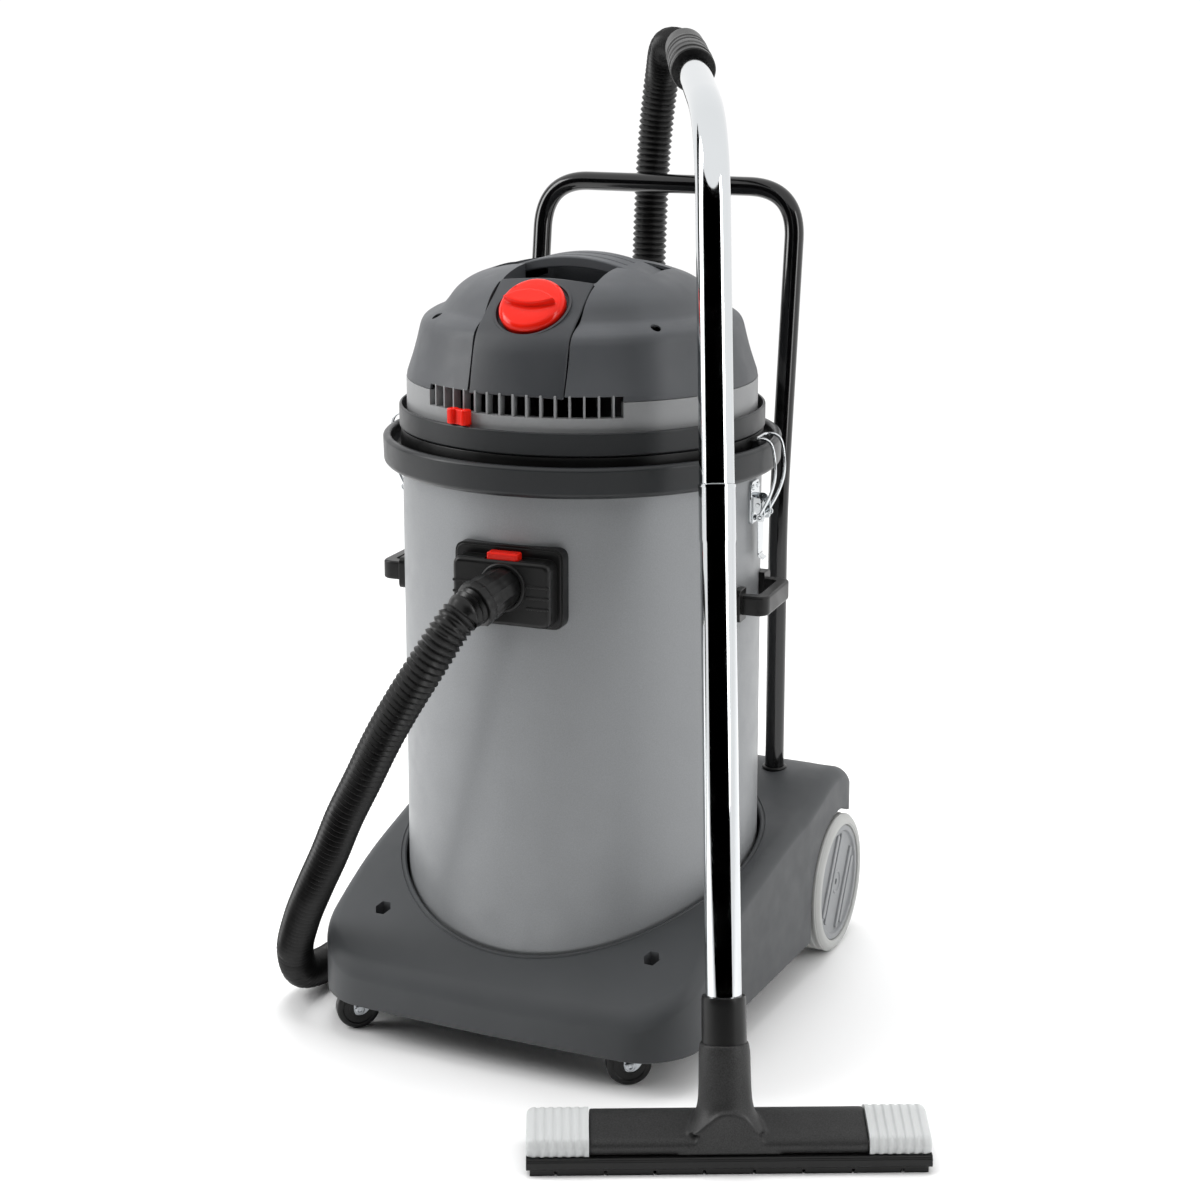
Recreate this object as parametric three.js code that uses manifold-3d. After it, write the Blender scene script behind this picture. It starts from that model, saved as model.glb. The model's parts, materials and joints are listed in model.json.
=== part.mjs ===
// Wet and dry shop vacuum: trolley, steel drum, twin-motor head, wand, floor tool and hose.
// Millimetres, +Z up, the machine's front faces -Y, the drum's axis is the Z axis, the floor is z = 0.
import * as THREE from 'three';
import { mergeVertices } from 'three/addons/utils/BufferGeometryUtils.js';
import Module from 'manifold-3d';

const wasm = await Module();
wasm.setup();

// ---------------------------------------------------------------- driving dimensions
const GAP = 0.3;
const ROUND = 32;

const DRUM_R = 223;
const DRUM_WALL = 1.5;
const DRUM_BOTTOM = 62;
const DRUM_TOP = 706;
const DRUM_YAW = THREE.MathUtils.degToRad(3);

const RIM_R = 247;
const RIM_BOTTOM = 693;
const RIM_TOP = 730;
const SEAT_Z = 710;
const SEAT_R = 212;

const BASE_FRONT = 278;
const BASE_REAR = 300;
const BASE_BOTTOM = 44;
const BASE_HALF_FRONT = 252;
const BASE_HALF_REAR = 266;
const BASE_CORNER = 80;
const BASE_WALL = 5;
const TUB_R = DRUM_R + 4;
const DECK_LINE = [[-300, 76], [-262, 106], [-228, 128], [-149, 165], [-101, 182], [-28, 200],
  [60, 219], [135, 229], [215, 246], [262, 243], [300, 222]];
const DECK_BOLT = [182, -200];

const WHEEL_R = 92;
const WHEEL_Y = 232;
const WHEEL_OUTER = 273;
const WHEEL_W = 42;
const HUB_R = 77;
const AXLE_R = 8;
const ARCH_R = 99;
const ARCH_X = 222;
const LIP_Z = 176;

const CASTER_X = 184;
const CASTER_Y = -232;
const CASTER_R = 27;
const CASTER_W = 18;
const CASTER_TRAIL = 16;
const CASTER_YAW = { left: -139, right: -148 };
const CROWN_Z = 56;

const LEG_X = 181;
const LEG_Y = 218;
const LEG_R = 12.5;
const LEG_FOOT = 125;
const LEG_BEND_Z = 600;
const BAR_Y = 270;
const BAR_Z = 1014;
const BAR_CORNER = 66;

const RING_R = 226.5;
const RING_BOTTOM = 716.3;
const RING_TOP = 767;
const BAND_R = 217;
const BAND_BOTTOM = 752.6;
const BAND_TOP = 800;
const COVER_BOTTOM = BAND_TOP + GAP;
const COVER_LINE = [[216.5, COVER_BOTTOM], [206, 835], [198.5, 866], [194, 875], [186, 881], [170, 888],
  [156, 907], [138, 919], [94, 935], [0, 943]];
const COVER_WALL = 3;
const PANEL_HALF = 60;
const PANEL_LINE = [[-214, 806], [-206.5, 838], [-199, 862], [-190, 876], [-157, 901], [-117, 931]];
const LOUVRE_HALF_ANGLE = 34.5;
const LOUVRE_BOTTOM = 782;
const GLAND_Z = 777;
const GLAND_R = 9;
const RECESS_FLOOR = 905;
const RECESS_REAR = 48;
const RECESS_FRONT = -109;

const KNOB_AT = [0, -157, 903];
const KNOB_TILT = THREE.MathUtils.degToRad(42);
const KNOB_R = 40;

const MOTOR_X = 92;
const MOTOR_Y = 8;
const FLOOR_PLATE = 744;

const LATCH_PIVOT = [234, 655];
const BAIL_PIVOT = [238, 641];
const BAIL_HALF = 19;

const INLET_FRONT = 255;
const INLET_HALF = 64;
const CUFF_FROM = new THREE.Vector3(3, -264, 589);
const CUFF_ALONG = new THREE.Vector3(-0.41, -0.87, -0.31).normalize();
const CUFF_LENGTH = 40;
const PLUG_R = 21;

const HOSE_R = 23;
const WAND_R = 20;
const WAND_WALL = 1.2;
const WAND_FOOT = new THREE.Vector3(341, -364, 30);
const WAND_KNEE = new THREE.Vector3(212, -108, 1119);
const WAND_TIP = new THREE.Vector3(87, 132, 1177);
const WAND_JOINT = 722;
const TOOL_YAW = THREE.MathUtils.degToRad(25.6);
const TOOL_AT = [340, -356, 0];
const TOOL_HALF = 221;

// The hose's route, a list chosen by hand: out of the inlet, down to the floor at the front left,
// back along the left side, round the back, and up to the wand's cuff.
const HOSE_ROUTE = [
  [-13, -328, 555], [-37, -342, 512], [-69, -345, 461], [-96, -343, 416], [-127, -336, 361],
  [-159, -325, 308], [-190, -310, 252], [-226, -290, 194], [-262, -263, 137], [-293, -231, 78],
  [-303, -199, 37], [-300, -150, 25], [-301, -60, 24], [-305, 60, 24], [-308, 180, 24],
  [-306, 280, 25], [-280, 362, 36], [-218, 402, 70], [-158, 398, 140], [-118, 380, 230],
  [-92, 362, 340], [-74, 346, 470], [-62, 334, 620], [-54, 325, 780], [-48, 320, 920],
  [-42, 317, 1030], [-34, 312, 1100], [-20, 297, 1158], [2, 262, 1193],
];

const PALETTE = {
  base_plastic: ['#4b4d4f', 0.55, 0],
  drum_paint: ['#8b8d8f', 0.42, 0.35],
  ring_plastic: ['#3a3c3e', 0.42, 0],
  cover_plastic: ['#4a4c4f', 0.5, 0],
  panel_plastic: ['#3c3e41', 0.5, 0],
  band_plastic: ['#8a8b8c', 0.5, 0],
  black_plastic: ['#141414', 0.45, 0],
  red_plastic: ['#e32113', 0.25, 0],
  tyre_grey: ['#b9bab8', 0.7, 0],
  hub_grey: ['#8e9092', 0.5, 0],
  bumper_clear: ['#c9cbcb', 0.35, 0],
  black_rubber: ['#101010', 0.8, 0],
  chrome: ['#d9dcde', 0.08, 1],
  zinc: ['#b8bcc0', 0.3, 1],
  black_enamel: ['#0d0d0e', 0.2, 0.3],
  filter_cloth: ['#d8d4c6', 0.9, 0],
  motor_steel: ['#9a9c9e', 0.35, 0.9],
  rotor_alloy: ['#b4b7ba', 0.35, 0.9],
};

// ---------------------------------------------------------------- solids
/** A closed geometry, or one with its faces inside out, as a solid. */
function solid(geometry) {
  const bare = geometry.clone();
  bare.deleteAttribute('normal');
  bare.deleteAttribute('uv');
  const merged = mergeVertices(bare, 1e-3);
  const position = merged.attributes.position;
  const corners = [];
  let volume = 0;
  const a = new THREE.Vector3();
  const b = new THREE.Vector3();
  const c = new THREE.Vector3();
  for (let i = 0; i < merged.index.count; i += 3) {
    const [p, q, r] = [0, 1, 2].map((k) => merged.index.getX(i + k));
    if (p === q || q === r || r === p) continue;
    corners.push(p, q, r);
    a.fromBufferAttribute(position, p);
    b.fromBufferAttribute(position, q);
    c.fromBufferAttribute(position, r);
    volume += a.dot(b.cross(c));
  }
  if (volume < 0) corners.reverse();
  return new wasm.Manifold(new wasm.Mesh({
    numProp: 3,
    vertProperties: new Float32Array(position.array),
    triVerts: new Uint32Array(corners),
  }));
}

const union = (...items) => items.flat().reduce((whole, item) => whole.add(item));
const mirrorX = (item) => item.mirror([1, 0, 0]);
const onBothSides = (item) => union(item, mirrorX(item));

function box(x0, x1, y0, y1, z0, z1) {
  const geometry = new THREE.BoxGeometry(x1 - x0, y1 - y0, z1 - z0);
  return solid(geometry.translate((x0 + x1) / 2, (y0 + y1) / 2, (z0 + z1) / 2));
}

function rodZ(r, z0, z1, sides = 24) {
  const geometry = new THREE.CylinderGeometry(r, r, z1 - z0, sides);
  return solid(geometry.rotateX(Math.PI / 2).translate(0, 0, (z0 + z1) / 2));
}

function rodX(r, x0, x1, sides = 24) {
  const geometry = new THREE.CylinderGeometry(r, r, x1 - x0, sides);
  return solid(geometry.rotateZ(Math.PI / 2).translate((x0 + x1) / 2, 0, 0));
}

const rodY = (r, y0, y1, sides = 24) => rodX(r, y0, y1, sides).rotate([0, 0, 90]);

/** A solid of revolution about Z from [radius, height] pairs that start and end on the axis or close up. */
function turned(profile, sides = ROUND) {
  const points = profile.map(([r, z]) => new THREE.Vector2(r, z));
  if (profile[0][0] > 0) points.push(points[0].clone());
  return solid(new THREE.LatheGeometry(points, sides).rotateX(Math.PI / 2));
}

function extrudeZ(shape, z0, z1, curveSegments = 6) {
  const depth = z1 - z0;
  const geometry = new THREE.ExtrudeGeometry(shape, { depth, bevelEnabled: false, curveSegments });
  return solid(geometry.translate(0, 0, z0));
}

/** Extrudes an outline drawn in the Y-Z plane from x0 to x1. */
function extrudeX(shape, x0, x1, curveSegments = 6) {
  const depth = x1 - x0;
  const geometry = new THREE.ExtrudeGeometry(shape, { depth, bevelEnabled: false, curveSegments });
  const turn = new THREE.Matrix4().makeBasis(
    new THREE.Vector3(0, 1, 0), new THREE.Vector3(0, 0, 1), new THREE.Vector3(1, 0, 0));
  return solid(geometry.applyMatrix4(turn).translate(x0, 0, 0));
}

function outline(points) {
  return new THREE.Shape(points.map(([u, v]) => new THREE.Vector2(u, v)));
}

function roundedBar(u0, u1, v0, v1, r) {
  const shape = new THREE.Shape();
  shape.absarc(u1 - r, v0 + r, r, -Math.PI / 2, 0);
  shape.absarc(u1 - r, v1 - r, r, 0, Math.PI / 2);
  shape.absarc(u0 + r, v1 - r, r, Math.PI / 2, Math.PI);
  shape.absarc(u0 + r, v0 + r, r, Math.PI, 1.5 * Math.PI);
  return shape;
}

/** A route whose own points are its steps, so that straight runs cost one step. */
class Route extends THREE.Curve {
  constructor(points) {
    super();
    this.points = points;
  }

  getPoint(t, target = new THREE.Vector3()) {
    const at = Math.min(Math.max(t, 0), 1) * (this.points.length - 1);
    const index = Math.min(Math.floor(at), this.points.length - 2);
    return target.lerpVectors(this.points[index], this.points[index + 1], at - index);
  }

  getPointAt(t, target) {
    return this.getPoint(t, target);
  }

  getTangentAt(t, target) {
    return this.getTangent(t, target);
  }
}

function pipe(points, r, sides = 12) {
  const section = new THREE.Shape();
  section.absarc(0, 0, r, 0, 2 * Math.PI);
  const geometry = new THREE.ExtrudeGeometry(section, {
    steps: points.length - 1,
    curveSegments: sides / 2,
    extrudePath: new Route(points),
  });
  return solid(geometry);
}

const straight = (from, along, length, r0, r1, sides = 24) => {
  const geometry = new THREE.CylinderGeometry(r1, r0, length, sides).translate(0, length / 2, 0);
  const turn = new THREE.Quaternion().setFromUnitVectors(new THREE.Vector3(0, 1, 0), along);
  return solid(geometry.applyQuaternion(turn).translate(from.x, from.y, from.z));
};

const vec = ([x, y, z]) => new THREE.Vector3(x, y, z);
const offset = (from, along, length) => from.clone().addScaledVector(along, length);

// ---------------------------------------------------------------- nodes
const vacuum = new THREE.Group();
const trolley = new THREE.Group();
const drum = new THREE.Group();
const wand = new THREE.Group();
drum.rotation.z = DRUM_YAW;
vacuum.add(trolley, drum, wand);

function part(group, name, look, item) {
  const { vertProperties, triVerts } = item.getMesh();
  const geometry = new THREE.BufferGeometry();
  geometry.setAttribute('position', new THREE.BufferAttribute(vertProperties, 3));
  geometry.setIndex(new THREE.BufferAttribute(triVerts, 1));
  const [color, roughness, metalness] = PALETTE[look];
  const faceted = geometry.toNonIndexed();
  faceted.computeVertexNormals();
  const mesh = new THREE.Mesh(faceted, new THREE.MeshStandardMaterial({ color, roughness, metalness }));
  mesh.name = name;
  group.add(mesh);
}

const SIDES = { left: -1, right: 1 };

/** Adds a piece drawn on the right, and its mirror image on the left, as two nodes. */
function pair(group, name, look, item) {
  part(group, `${name}_left`, look, mirrorX(item));
  part(group, `${name}_right`, look, item);
}

// ---------------------------------------------------------------- trolley
function footprint(inset) {
  const front = -BASE_FRONT + inset;
  const middle = BASE_HALF_FRONT - BASE_CORNER;
  const r = BASE_CORNER - inset;
  const rear = BASE_REAR - inset;
  const rearHalf = BASE_HALF_REAR - inset;
  const shape = new THREE.Shape();
  shape.moveTo(-middle, front);
  shape.quadraticCurveTo(0, front - 8, middle, front);
  shape.absarc(middle, -BASE_FRONT + BASE_CORNER, r, -Math.PI / 2, 0);
  shape.lineTo(rearHalf, 120);
  shape.absarc(rearHalf - 20, rear - 20, 20, 0, Math.PI / 2);
  shape.absarc(-rearHalf + 20, rear - 20, 20, Math.PI / 2, Math.PI);
  shape.lineTo(-rearHalf, 120);
  shape.absarc(-middle, -BASE_FRONT + BASE_CORNER, r, Math.PI, 1.5 * Math.PI);
  return shape;
}

function underDeck(drop) {
  const deck = new THREE.SplineCurve(DECK_LINE.map(([y, z]) => new THREE.Vector2(y, z - drop)));
  const shape = new THREE.Shape(deck.getPoints(14));
  shape.lineTo(300, 0);
  shape.lineTo(-300, 0);
  return extrudeX(shape, -300, 300);
}

/** The space of one wheel under the rear hump, grown by a wall's thickness. */
function wheelArch(side, wall) {
  const x0 = ARCH_X - wall;
  const arch = union(
    rodX(ARCH_R + wall, x0, 320, 28).translate([0, WHEEL_Y, WHEEL_R]),
    box(x0, 320, WHEEL_Y - ARCH_R - wall, WHEEL_Y + 150, -10, WHEEL_R),
    box(x0, 320, WHEEL_Y, WHEEL_Y + 150, -10, LIP_Z + wall));
  return side < 0 ? mirrorX(arch) : arch;
}

function trolleyBase() {
  const outer = extrudeZ(footprint(0), BASE_BOTTOM, 300).intersect(underDeck(0));
  const tub = rodZ(TUB_R + BASE_WALL, DRUM_BOTTOM - GAP - BASE_WALL, 320, ROUND);
  const arches = (wall) => union(wheelArch(-1, wall), wheelArch(1, wall));
  const hollow = extrudeZ(footprint(BASE_WALL), 0, 300).intersect(underDeck(BASE_WALL));
  const bosses = onBothSides(union(
    rodZ(15, CROWN_Z + 2, 140, 16).translate([CASTER_X, CASTER_Y, 0]),
    rodZ(13, CROWN_Z + 30, 160, 12).translate([...DECK_BOLT, 0]),
    rodZ(18, 104, 260, 20).translate([LEG_X, LEG_Y, 0]),
    box(142, ARCH_X, WHEEL_Y - 18, WHEEL_Y + 18, WHEEL_R - 18, 112)));
  const holes = onBothSides(union(
    rodZ(5.9, 40, 94, 16).translate([CASTER_X, CASTER_Y, 0]),
    rodZ(8.5, 112, 200, 6).translate([...DECK_BOLT, 0]),
    rodZ(LEG_R + 2.2, 118, 300, 20).translate([LEG_X, LEG_Y, 0]),
    rodX(AXLE_R + GAP, 150, 240, 20).translate([0, WHEEL_Y, WHEEL_R])));
  return outer.subtract(arches(0))
    .subtract(hollow.subtract(arches(BASE_WALL)).subtract(tub))
    .add(bosses.intersect(outer))
    .subtract(rodZ(TUB_R, DRUM_BOTTOM - GAP, 320, ROUND))
    .subtract(holes);
}

/** One caster's fork, drawn with its trail along +X and its swivel axis on Z. */
function casterFork() {
  const inside = CASTER_W / 2 + 0.7;
  const leg = new THREE.Shape();
  leg.moveTo(-11, CROWN_Z + 1.5);
  leg.lineTo(-11, 50);
  leg.lineTo(CASTER_TRAIL - 7, CASTER_R - 3);
  leg.absarc(CASTER_TRAIL, CASTER_R, 7.5, 1.15 * Math.PI, 2 * Math.PI);
  leg.lineTo(CASTER_TRAIL + 5, CROWN_Z + 1.5);
  const plate = extrudeZ(leg, 0, 2.4, 4).rotate([90, 0, 0]);
  return union(
    plate.translate([0, inside + 2.4, 0]),
    plate.translate([0, -inside, 0]),
    box(-13, 21, -inside - 2.4, inside + 2.4, CROWN_Z - 1, CROWN_Z + 1.6),
    rodZ(5.5, CROWN_Z, 90, 16))
    .subtract(rodY(3.3, -20, 20, 12).translate([CASTER_TRAIL, 0, CASTER_R]));
}

function casterAxle() {
  const reach = CASTER_W / 2 + 3.4;
  return union(
    rodY(3, -reach - 1, reach + 1, 12),
    rodY(5.5, reach, reach + 3.5, 6),
    rodY(5.5, -reach - 3.5, -reach, 6)).translate([CASTER_TRAIL, 0, CASTER_R]);
}

function casterWheel() {
  const half = CASTER_W / 2;
  const wheel = turned([[3.5, -half], [25, -half], [CASTER_R, -half + 3], [CASTER_R, half - 3], [25, half],
    [3.5, half]], 22);
  return wheel.rotate([90, 0, 0]).translate([CASTER_TRAIL, 0, CASTER_R]);
}

function addCasters() {
  for (const [side, sign] of Object.entries(SIDES)) {
    const caster = new THREE.Group();
    caster.position.set(sign * CASTER_X, CASTER_Y, 0);
    caster.rotation.z = THREE.MathUtils.degToRad(CASTER_YAW[side]);
    trolley.add(caster);
    part(caster, `caster_fork_${side}`, 'zinc', casterFork());
    part(caster, `caster_axle_${side}`, 'zinc', casterAxle());
    part(caster, `caster_wheel_${side}`, 'black_rubber', casterWheel());
  }
}

function rearTyre() {
  const inner = WHEEL_OUTER - WHEEL_W;
  return turned([[HUB_R + GAP, inner], [WHEEL_R - 3, inner], [WHEEL_R, inner + 3],
    [WHEEL_R, WHEEL_OUTER - 3], [WHEEL_R - 3, WHEEL_OUTER], [HUB_R + GAP, WHEEL_OUTER]], 28)
    .rotate([0, 90, 0])
    .translate([0, WHEEL_Y, WHEEL_R]);
}

function rearHub() {
  const inner = WHEEL_OUTER - WHEEL_W + 4;
  const face = WHEEL_OUTER - 3;
  const body = turned([[AXLE_R + 0.4, inner], [20, inner], [20, face - 9], [68, face - 9], [68, inner],
    [HUB_R, inner], [HUB_R, face], [71, face], [69, face - 4], [3, face - 4], [3, face - 9],
    [AXLE_R + 0.4, face - 9]], 28).rotate([0, 90, 0]);
  const ribs = [-22, 22].map((offsetZ) => box(face - 6, face - 0.5, -46, 46, offsetZ - 4, offsetZ + 4)
    .rotate([-58, 0, 0]));
  return union(body, ribs).translate([0, WHEEL_Y, WHEEL_R]);
}

function addRearWheels() {
  const axle = union(
    rodX(AXLE_R, 152, WHEEL_OUTER - 14, 20),
    rodX(15, ARCH_X + 0.5, ARCH_X + 8, 20)).translate([0, WHEEL_Y, WHEEL_R]);
  pair(trolley, 'rear_tyre', 'tyre_grey', rearTyre());
  pair(trolley, 'rear_hub', 'hub_grey', rearHub());
  pair(trolley, 'stub_axle', 'zinc', axle);
}

/** Points of one rounded bend between two straight runs. */
function bend(before, corner, after, reach, steps) {
  const into = before.clone().sub(corner).normalize();
  const out = after.clone().sub(corner).normalize();
  const start = offset(corner, into, reach);
  const end = offset(corner, out, reach);
  return new THREE.QuadraticBezierCurve3(start, corner, end).getPoints(steps);
}

function pushHandle() {
  const foot = new THREE.Vector3(-LEG_X, LEG_Y, LEG_FOOT);
  const waist = new THREE.Vector3(-LEG_X, LEG_Y, LEG_BEND_Z);
  const corner = new THREE.Vector3(-LEG_X, BAR_Y, BAR_Z);
  const across = (point) => new THREE.Vector3(-point.x, point.y, point.z);
  const half = [foot, ...bend(foot, waist, corner, 60, 2),
    ...bend(waist, corner, across(corner), BAR_CORNER, 6)];
  return pipe([...half, ...half.map(across).reverse()], LEG_R, 12);
}

function addPushHandle() {
  part(trolley, 'push_handle', 'black_enamel', pushHandle());
  const grommet = union(rodZ(LEG_R + 1.9, 200, 246, 20), rodZ(LEG_R + 6, 246, 250, 20))
    .subtract(rodZ(LEG_R + GAP, 190, 260, 20)).translate([LEG_X, LEG_Y, 0]);
  pair(trolley, 'handle_grommet', 'black_rubber', grommet.subtract(underDeck(-GAP)
    .subtract(rodZ(LEG_R + 2, 0, 300, 20).translate([LEG_X, LEG_Y, 0]))));
}

part(trolley, 'trolley_base', 'base_plastic', trolleyBase());
addCasters();
addRearWheels();
addPushHandle();

// ---------------------------------------------------------------- drum
const drumSkin = (r) => rodZ(r, -10, 1200, ROUND);
const atCuff = (rod) => rod.translate([CUFF_FROM.x, 0, CUFF_FROM.z]);
const atLatch = ([x, z], item) => item.translate([x, 0, z]);

function drumShell() {
  const inside = DRUM_R - DRUM_WALL;
  const shell = turned([[0, DRUM_BOTTOM], [DRUM_R - 6, DRUM_BOTTOM], [DRUM_R, DRUM_BOTTOM + 6],
    [DRUM_R, DRUM_TOP], [inside, DRUM_TOP], [inside, DRUM_BOTTOM + 7],
    [inside - 6, DRUM_BOTTOM + DRUM_WALL], [0, DRUM_BOTTOM + DRUM_WALL]]);
  return shell.subtract(atCuff(rodY(PLUG_R, -240, -200, 20)));
}

function rimRing() {
  return turned([[DRUM_R + GAP, RIM_BOTTOM], [242, RIM_BOTTOM], [RIM_R, RIM_BOTTOM + 5],
    [RIM_R, RIM_TOP - 2], [RIM_R - 2, RIM_TOP], [237, RIM_TOP], [236, RIM_TOP - 12],
    [231, SEAT_Z], [SEAT_R, SEAT_Z], [SEAT_R, DRUM_TOP + GAP], [DRUM_R + GAP, DRUM_TOP + GAP]]);
}

function sideHandle() {
  const hoop = extrudeZ(roundedBar(200, 258, -52, 52, 16), 526, 550, 4)
    .subtract(extrudeZ(roundedBar(190, 244, -38, 38, 8), 500, 580, 3));
  const feet = box(218, 227.5, -62, 62, 518, 558).subtract(box(0, 300, -37, 37, 500, 580));
  const rivets = [-56, 56].map((y) => rodX(3.4, 220, 229, 8).translate([0, y, 538]));
  return union(hoop, feet, rivets).subtract(drumSkin(DRUM_R + GAP));
}

function latchBracket() {
  const plate = box(218, 226, -17, 17, 630, 682).subtract(drumSkin(DRUM_R + GAP));
  const ears = union(box(224, 238, -16, -13.5, 646, 664), box(224, 238, 13.5, 16, 646, 664));
  const rivets = [[-9, 675], [9, 675], [0, 636]]
    .map(([y, z]) => rodX(3, 224, 227.8, 8).translate([0, y, z]));
  const pinHole = atLatch(LATCH_PIVOT, rodY(2.9, -30, 30, 12));
  return union(plate, ears, rivets).subtract(pinHole);
}

function latchLever() {
  const plate = union(
    box(231.5, 234, -11, 11, 592, 651),
    box(231.5, 238.5, -11, 11, 586, 592),
    box(232.3, 240.4, -12.5, -10.5, 636, 659),
    box(232.3, 240.4, 10.5, 12.5, 636, 659));
  const pin = atLatch(LATCH_PIVOT, rodY(2.5, -17.5, 17.5, 12));
  const stud = atLatch(BAIL_PIVOT, rodY(2, -20.8, 20.8, 10));
  return union(plate, pin, stud);
}

function latchBail() {
  const wire = 1.8;
  const side = [[BAIL_PIVOT[0], BAIL_PIVOT[1] + 3], [250, 668], [256, 690], [255.5, 712],
    [251, 731], [244, 736.5], [231, 736.5]];
  const loop = [
    ...side.map(([x, z]) => new THREE.Vector3(x, -BAIL_HALF, z)),
    ...side.map(([x, z]) => new THREE.Vector3(x, BAIL_HALF, z)).reverse()];
  const eye = atLatch(BAIL_PIVOT, rodY(4.4, BAIL_HALF - 1.5, BAIL_HALF + 1.5, 12));
  const hole = atLatch(BAIL_PIVOT, rodY(2.4, -30, 30, 10));
  return union(pipe(loop, wire, 8), eye, eye.mirror([0, 1, 0])).subtract(hole);
}

function addLatches() {
  pair(drum, 'latch_bracket', 'chrome', latchBracket());
  pair(drum, 'latch_lever', 'chrome', latchLever());
  pair(drum, 'latch_bail', 'chrome', latchBail());
}

function inletBox() {
  const front = -INLET_FRONT;
  const body = extrudeZ(roundedBar(-INLET_HALF + 3, INLET_HALF - 3, front, -200, 10), 543, 620, 3);
  const flange = box(-INLET_HALF - 2, INLET_HALF + 2, -230.5, -200, 539, 631);
  const ribs = [566, 580, 594].map((z) => union(
    box(-54, -32, front - 1.5, front + 2, z, z + 4),
    box(36, 54, front - 1.5, front + 2, z, z + 4)));
  const socket = atCuff(rodY(PLUG_R + GAP, -300, -190, 20));
  return union(body, flange, ribs).subtract(drumSkin(DRUM_R + 2)).subtract(socket)
    .subtract(box(-20.5, 20.5, -250.5, -233.5, 610.5, 640));
}

function releaseButton() {
  const ribs = [-15, -9, -3, 3, 9, 15].map((x) => box(x - 1, x + 1, -249.4, -234.6, 627, 628.6));
  const flange = box(-20, 20, -250, -234, 618, 622);
  return union(flange, box(-18.5, 18.5, -249.5, -234.5, 621, 627.5), ribs);
}

function buttonSpring() {
  const turns = 2;
  const steps = 9 * turns;
  const points = Array.from({ length: steps + 1 }, (_, i) => {
    const angle = 2 * Math.PI * turns * i / steps;
    return new THREE.Vector3(5 * Math.cos(angle), -242 + 5 * Math.sin(angle), 611.5 + 5.5 * i / steps);
  });
  return pipe(points, 0.7, 6);
}

function inletDeflector() {
  const inside = DRUM_R - DRUM_WALL - GAP;
  const hood = box(-34, 34, -230, -168, 548, 612).subtract(box(-31, 31, -240, -171, 500, 609));
  return hood.intersect(rodZ(inside, 0, 900, ROUND));
}

function addInlet() {
  part(drum, 'inlet_box', 'black_plastic', inletBox());
  const gasket = box(-INLET_HALF - 4, INLET_HALF + 4, -229.5, -200, 537, 633)
    .intersect(drumSkin(DRUM_R + 1.7))
    .subtract(drumSkin(DRUM_R + GAP))
    .subtract(atCuff(rodY(PLUG_R, -260, -190, 20)));
  part(drum, 'inlet_gasket', 'black_rubber', gasket);
  part(drum, 'inlet_deflector', 'black_plastic', inletDeflector());
  part(drum, 'hose_release_button', 'red_plastic', releaseButton());
  part(drum, 'button_spring', 'zinc', buttonSpring());
}

part(drum, 'drum_shell', 'drum_paint', drumShell());
part(drum, 'rim_ring', 'ring_plastic', rimRing());
pair(drum, 'drum_handle', 'black_plastic', sideHandle());
addLatches();
addInlet();

// ---------------------------------------------------------------- head
function headRing() {
  const ring = turned([[0, FLOOR_PLATE], [SEAT_R, FLOOR_PLATE], [SEAT_R, RING_BOTTOM + 2],
    [SEAT_R + 2, RING_BOTTOM], [RING_R, RING_BOTTOM], [RING_R, RING_TOP], [RING_R - 3, RING_TOP],
    [RING_R - 3.5, FLOOR_PLATE + 6], [0, FLOOR_PLATE + 6]]);
  const lug = box(220, 234.5, -14, 14, 723, 733.5).subtract(rodZ(RING_R - 2, 0, 900, ROUND));
  const motorInlet = rodZ(24, 700, 800, 20).translate([MOTOR_X, MOTOR_Y, 0]);
  return union(ring, onBothSides(lug)).subtract(onBothSides(motorInlet));
}

function motorHousing() {
  const inside = BAND_R - 12;
  const ring = turned([[inside, BAND_BOTTOM], [BAND_R, BAND_BOTTOM], [BAND_R, BAND_TOP],
    [inside, BAND_TOP]]);
  const half = THREE.MathUtils.degToRad(LOUVRE_HALF_ANGLE);
  const wedge = outline([[0, 0], [-300 * Math.sin(half), -300 * Math.cos(half)], [0, -420],
    [300 * Math.sin(half), -300 * Math.cos(half)]]);
  const notch = extrudeZ(wedge, LOUVRE_BOTTOM, BAND_TOP + 10);
  const ribs = [];
  for (let angle = -31.5; angle <= 32; angle += 4.5) {
    const rib = box(-1.3, 1.3, -BAND_R + 1, -inside - 0.5, LOUVRE_BOTTOM - 2, BAND_TOP);
    ribs.push(rib.rotate([0, 0, angle]));
  }
  const glandHole = rodY(GLAND_R + GAP, 190, 240, 12).translate([0, 0, GLAND_Z]);
  return union(ring.subtract(notch), ribs).subtract(glandHole);
}

function topCover() {
  const inside = COVER_LINE
    .map(([r, z]) => [Math.max(r - COVER_WALL, 0), r > 180 ? z : z - COVER_WALL]);
  const outer = turned([[0, COVER_BOTTOM], ...COVER_LINE]);
  const inner = turned([[0, COVER_BOTTOM - 5], [inside[0][0], COVER_BOTTOM - 5], ...inside]);
  const wall = COVER_WALL;
  const bucket = box(-PANEL_HALF - wall, PANEL_HALF + wall, RECESS_FRONT - wall, RECESS_REAR + wall,
    RECESS_FLOOR - wall, 960).intersect(outer);
  const recess = box(-PANEL_HALF, PANEL_HALF, RECESS_FRONT, RECESS_REAR, RECESS_FLOOR, 980);
  const slot = box(-PANEL_HALF - GAP, PANEL_HALF + GAP, -240, RECESS_FRONT - wall, 790, 980);
  const screws = onBothSides(union([-120, 120].map((y) => rodZ(3.4, 780, 900, 10).translate([140, y, 0]))));
  return union(outer.subtract(inner), bucket).subtract(slot).subtract(recess).subtract(screws);
}

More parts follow.
